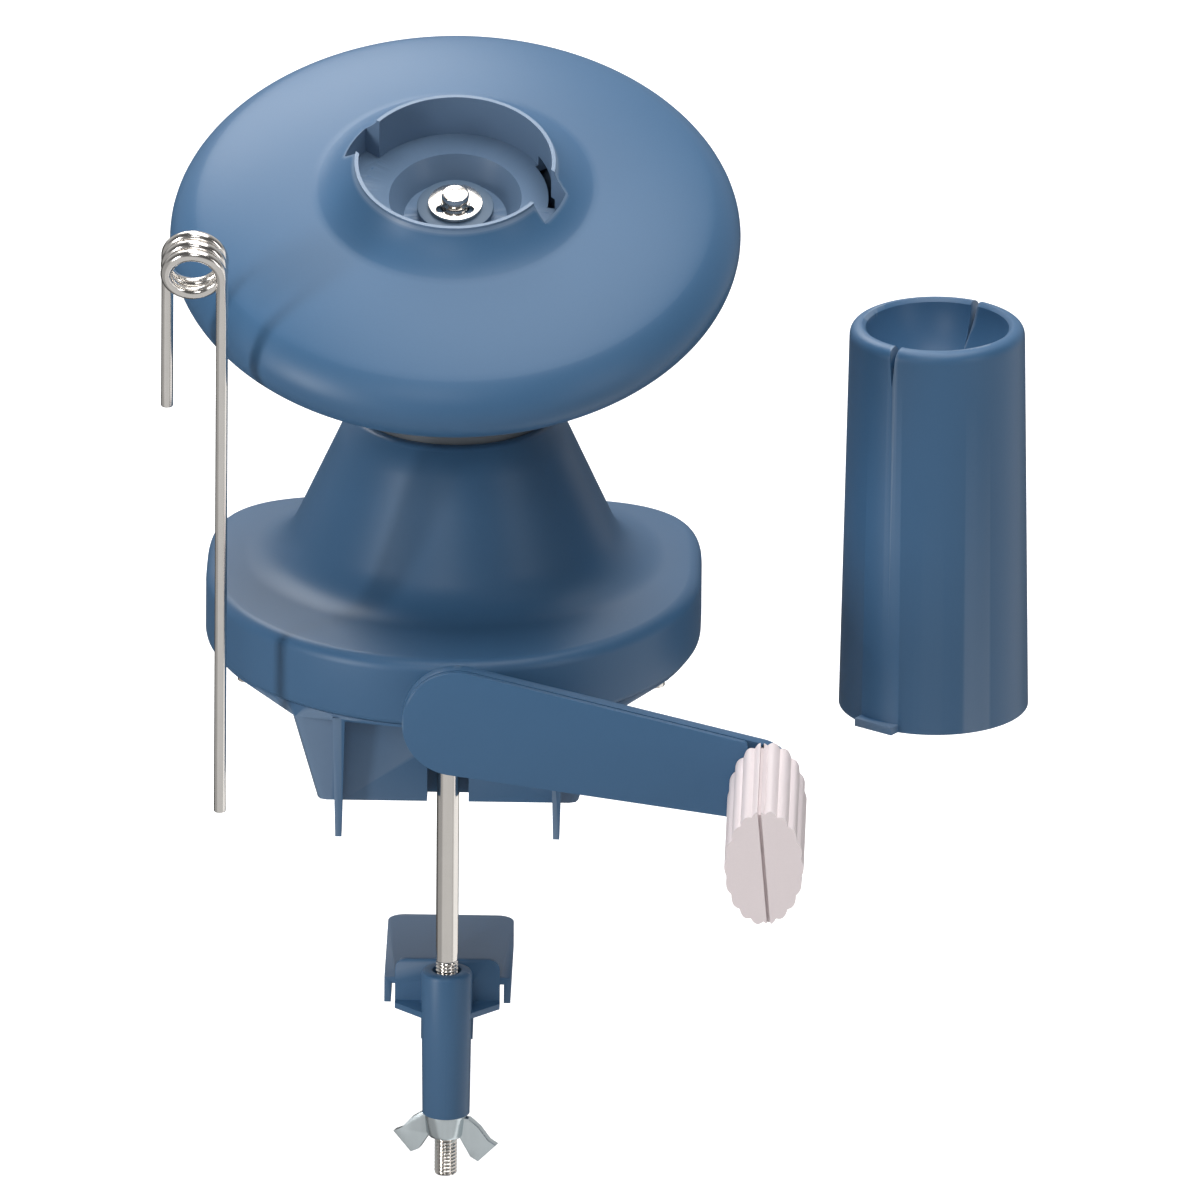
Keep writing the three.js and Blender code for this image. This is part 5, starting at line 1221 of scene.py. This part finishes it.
def surroundings(wires):
    """A studio for mirrors alone: even light in front, a window on the right and dark cloth behind."""
    ray = wires.add("ShaderNodeNewGeometry")["Incoming"]
    back = wires.add("ShaderNodeSeparateXYZ", {0: ray})
    turn = wires.maths("ARCTAN2", wires.maths("MULTIPLY", back["X"], -1), back["Y"])
    share = wires.maths("ADD", wires.maths("DIVIDE", turn, 2 * math.pi), 0.5)
    ramp = wires.tree.nodes.new("ShaderNodeFloatCurve")
    wires.feed(ramp, {"Value": share})
    curve = ramp.mapping.curves[0]
    for _ in MIRRORED[2:]:
        curve.points.new(0.5, 0.5)
    brightest = max(value for _, value in MIRRORED)
    for point, (degrees, value) in zip(curve.points, MIRRORED):
        point.location = (degrees / 360 + 0.5, value / brightest)
        point.handle_type = "VECTOR"
    ramp.mapping.update()
    level = wires.maths("MULTIPLY", ramp.outputs[0], brightest)
    behind = wires.add("ShaderNodeMapRange", {
        "Value": back["Y"], "From Min": 0.1, "From Max": -0.6,
        "To Min": MIRRORED_ABOVE_FRONT, "To Max": MIRRORED_ABOVE_BACK})["Result"]
    rise = wires.add("ShaderNodeMapRange", {"Value": back["Z"], "From Min": 0.1, "From Max": -0.15})["Result"]
    return wires.add("ShaderNodeMix", {"Factor": rise, 2: level, 3: behind})[0]


def floor_look(wires, seen):
    """Takes a shadow, and looks white to the camera."""
    plain = wires.add("ShaderNodeBsdfDiffuse", {"Color": FLOOR_COLOUR})[0]
    strength = wires.maths("MULTIPLY", seen, FLOOR_GLOW)
    glow = wires.add("ShaderNodeEmission", {"Color": WHITE, "Strength": strength})[0]
    return wires.add("ShaderNodeAddShader", {0: plain, 1: glow})[0]


def sky_look(wires, seen):
    """A faint cool light, and white to the camera."""
    light = wires.add("ShaderNodeBackground", {"Color": SKY_COLOUR, "Strength": SKY_LEVEL})[0]
    white = wires.add("ShaderNodeBackground", {"Color": WHITE, "Strength": 1.0})[0]
    return wires.add("ShaderNodeMixShader", {"Fac": seen, 1: light, 2: white})[0]


def stage_look(tree, look, glow, output):
    """Gives a tree its look, and shows mirrors the studio in its place."""
    tree.nodes.clear()
    wires = Wiring(tree)
    rays = wires.add("ShaderNodeLightPath")
    seen = wires.maths("MAXIMUM", rays["Is Camera Ray"], rays["Is Transmission Ray"])
    mirrored = wires.add(glow, {"Strength": surroundings(wires)})[0]
    mix = {"Fac": rays["Is Glossy Ray"], 1: look(wires, seen), 2: mirrored}
    wires.add(output, {"Surface": wires.add("ShaderNodeMixShader", mix)[0]})


corners = [(x * FLOOR_HALF, y * FLOOR_HALF, FLOOR_HEIGHT) for x, y in ((-1, -1), (1, -1), (1, 1), (-1, 1))]
floor = mesh_of("floor", Form(corners, [[0, 1, 2, 3]]))
floor_white = bpy.data.materials.new("floor_white")
floor_white.use_nodes = True
stage_look(floor_white.node_tree, floor_look, "ShaderNodeEmission", "ShaderNodeOutputMaterial")
floor.data.materials.append(floor_white)

world = bpy.data.worlds.new("studio")
bpy.context.scene.world = world
world.use_nodes = True
stage_look(world.node_tree, sky_look, "ShaderNodeBackground", "ShaderNodeOutputWorld")


def soft_light(name, place, target_height, size, watts):
    lamp = bpy.data.lights.new(name, "AREA")
    lamp.shape = "RECTANGLE"
    lamp.size, lamp.size_y = size
    lamp.energy = watts
    made = put_in_scene(name, lamp)
    made.location = place
    heading = Vector((0, 0, target_height)) - Vector(place)
    made.rotation_euler = heading.to_track_quat("-Z", "Y").to_euler()


soft_light("sky_above", (0.15, 0, 1.5), 0.06, (1.6, 1.2), 23)
soft_light("front_middle", (-0.2, -1.35, 0.95), 0.06, (0.4, 0.4), 3.5)
soft_light("strip_left", (-1.4, -1.15, 0.35), 0.05, (0.25, 0.8), 15)
soft_light("fill_right", (1.3, -1.0, 0.4), 0.05, (0.3, 0.9), 3)
soft_light("back_top", (-0.35, 0.95, 1.05), 0.12, (0.8, 0.6), 9)

CAMERA_AZIMUTH = math.radians(1.0)
CAMERA_ROLL = math.radians(0.45)
CAMERA_ELEVATION = math.radians(21)
CAMERA_DISTANCE = 12.0
CAMERA_SENSOR = 36
PIXELS_PER_METRE = 3750
IMAGE_SIDE = 1200
ORIGIN_PIXEL = (453.5, 713)
ahead = Vector((-math.sin(CAMERA_AZIMUTH) * math.cos(CAMERA_ELEVATION),
                math.cos(CAMERA_AZIMUTH) * math.cos(CAMERA_ELEVATION), -math.sin(CAMERA_ELEVATION)))
right = Vector((math.cos(CAMERA_AZIMUTH), math.sin(CAMERA_AZIMUTH), 0))
up = right.cross(ahead)
right, up = (right * math.cos(CAMERA_ROLL) + up * math.sin(CAMERA_ROLL),
             up * math.cos(CAMERA_ROLL) - right * math.sin(CAMERA_ROLL))
aside = (IMAGE_SIDE / 2 - ORIGIN_PIXEL[0]) / PIXELS_PER_METRE
above = (ORIGIN_PIXEL[1] - IMAGE_SIDE / 2) / PIXELS_PER_METRE
camera_data = bpy.data.cameras.new("camera")
camera_data.sensor_width = CAMERA_SENSOR
camera_data.lens = PIXELS_PER_METRE * CAMERA_DISTANCE / IMAGE_SIDE * CAMERA_SENSOR
camera_data.clip_start = 0.1
camera_data.clip_end = 60
camera = put_in_scene("camera", camera_data)
camera.location = right * aside + up * above - ahead * CAMERA_DISTANCE
camera.rotation_euler = Matrix((right, up, -ahead)).transposed().to_euler()
bpy.context.scene.camera = camera
bpy.context.scene.view_settings.view_transform = "Standard"
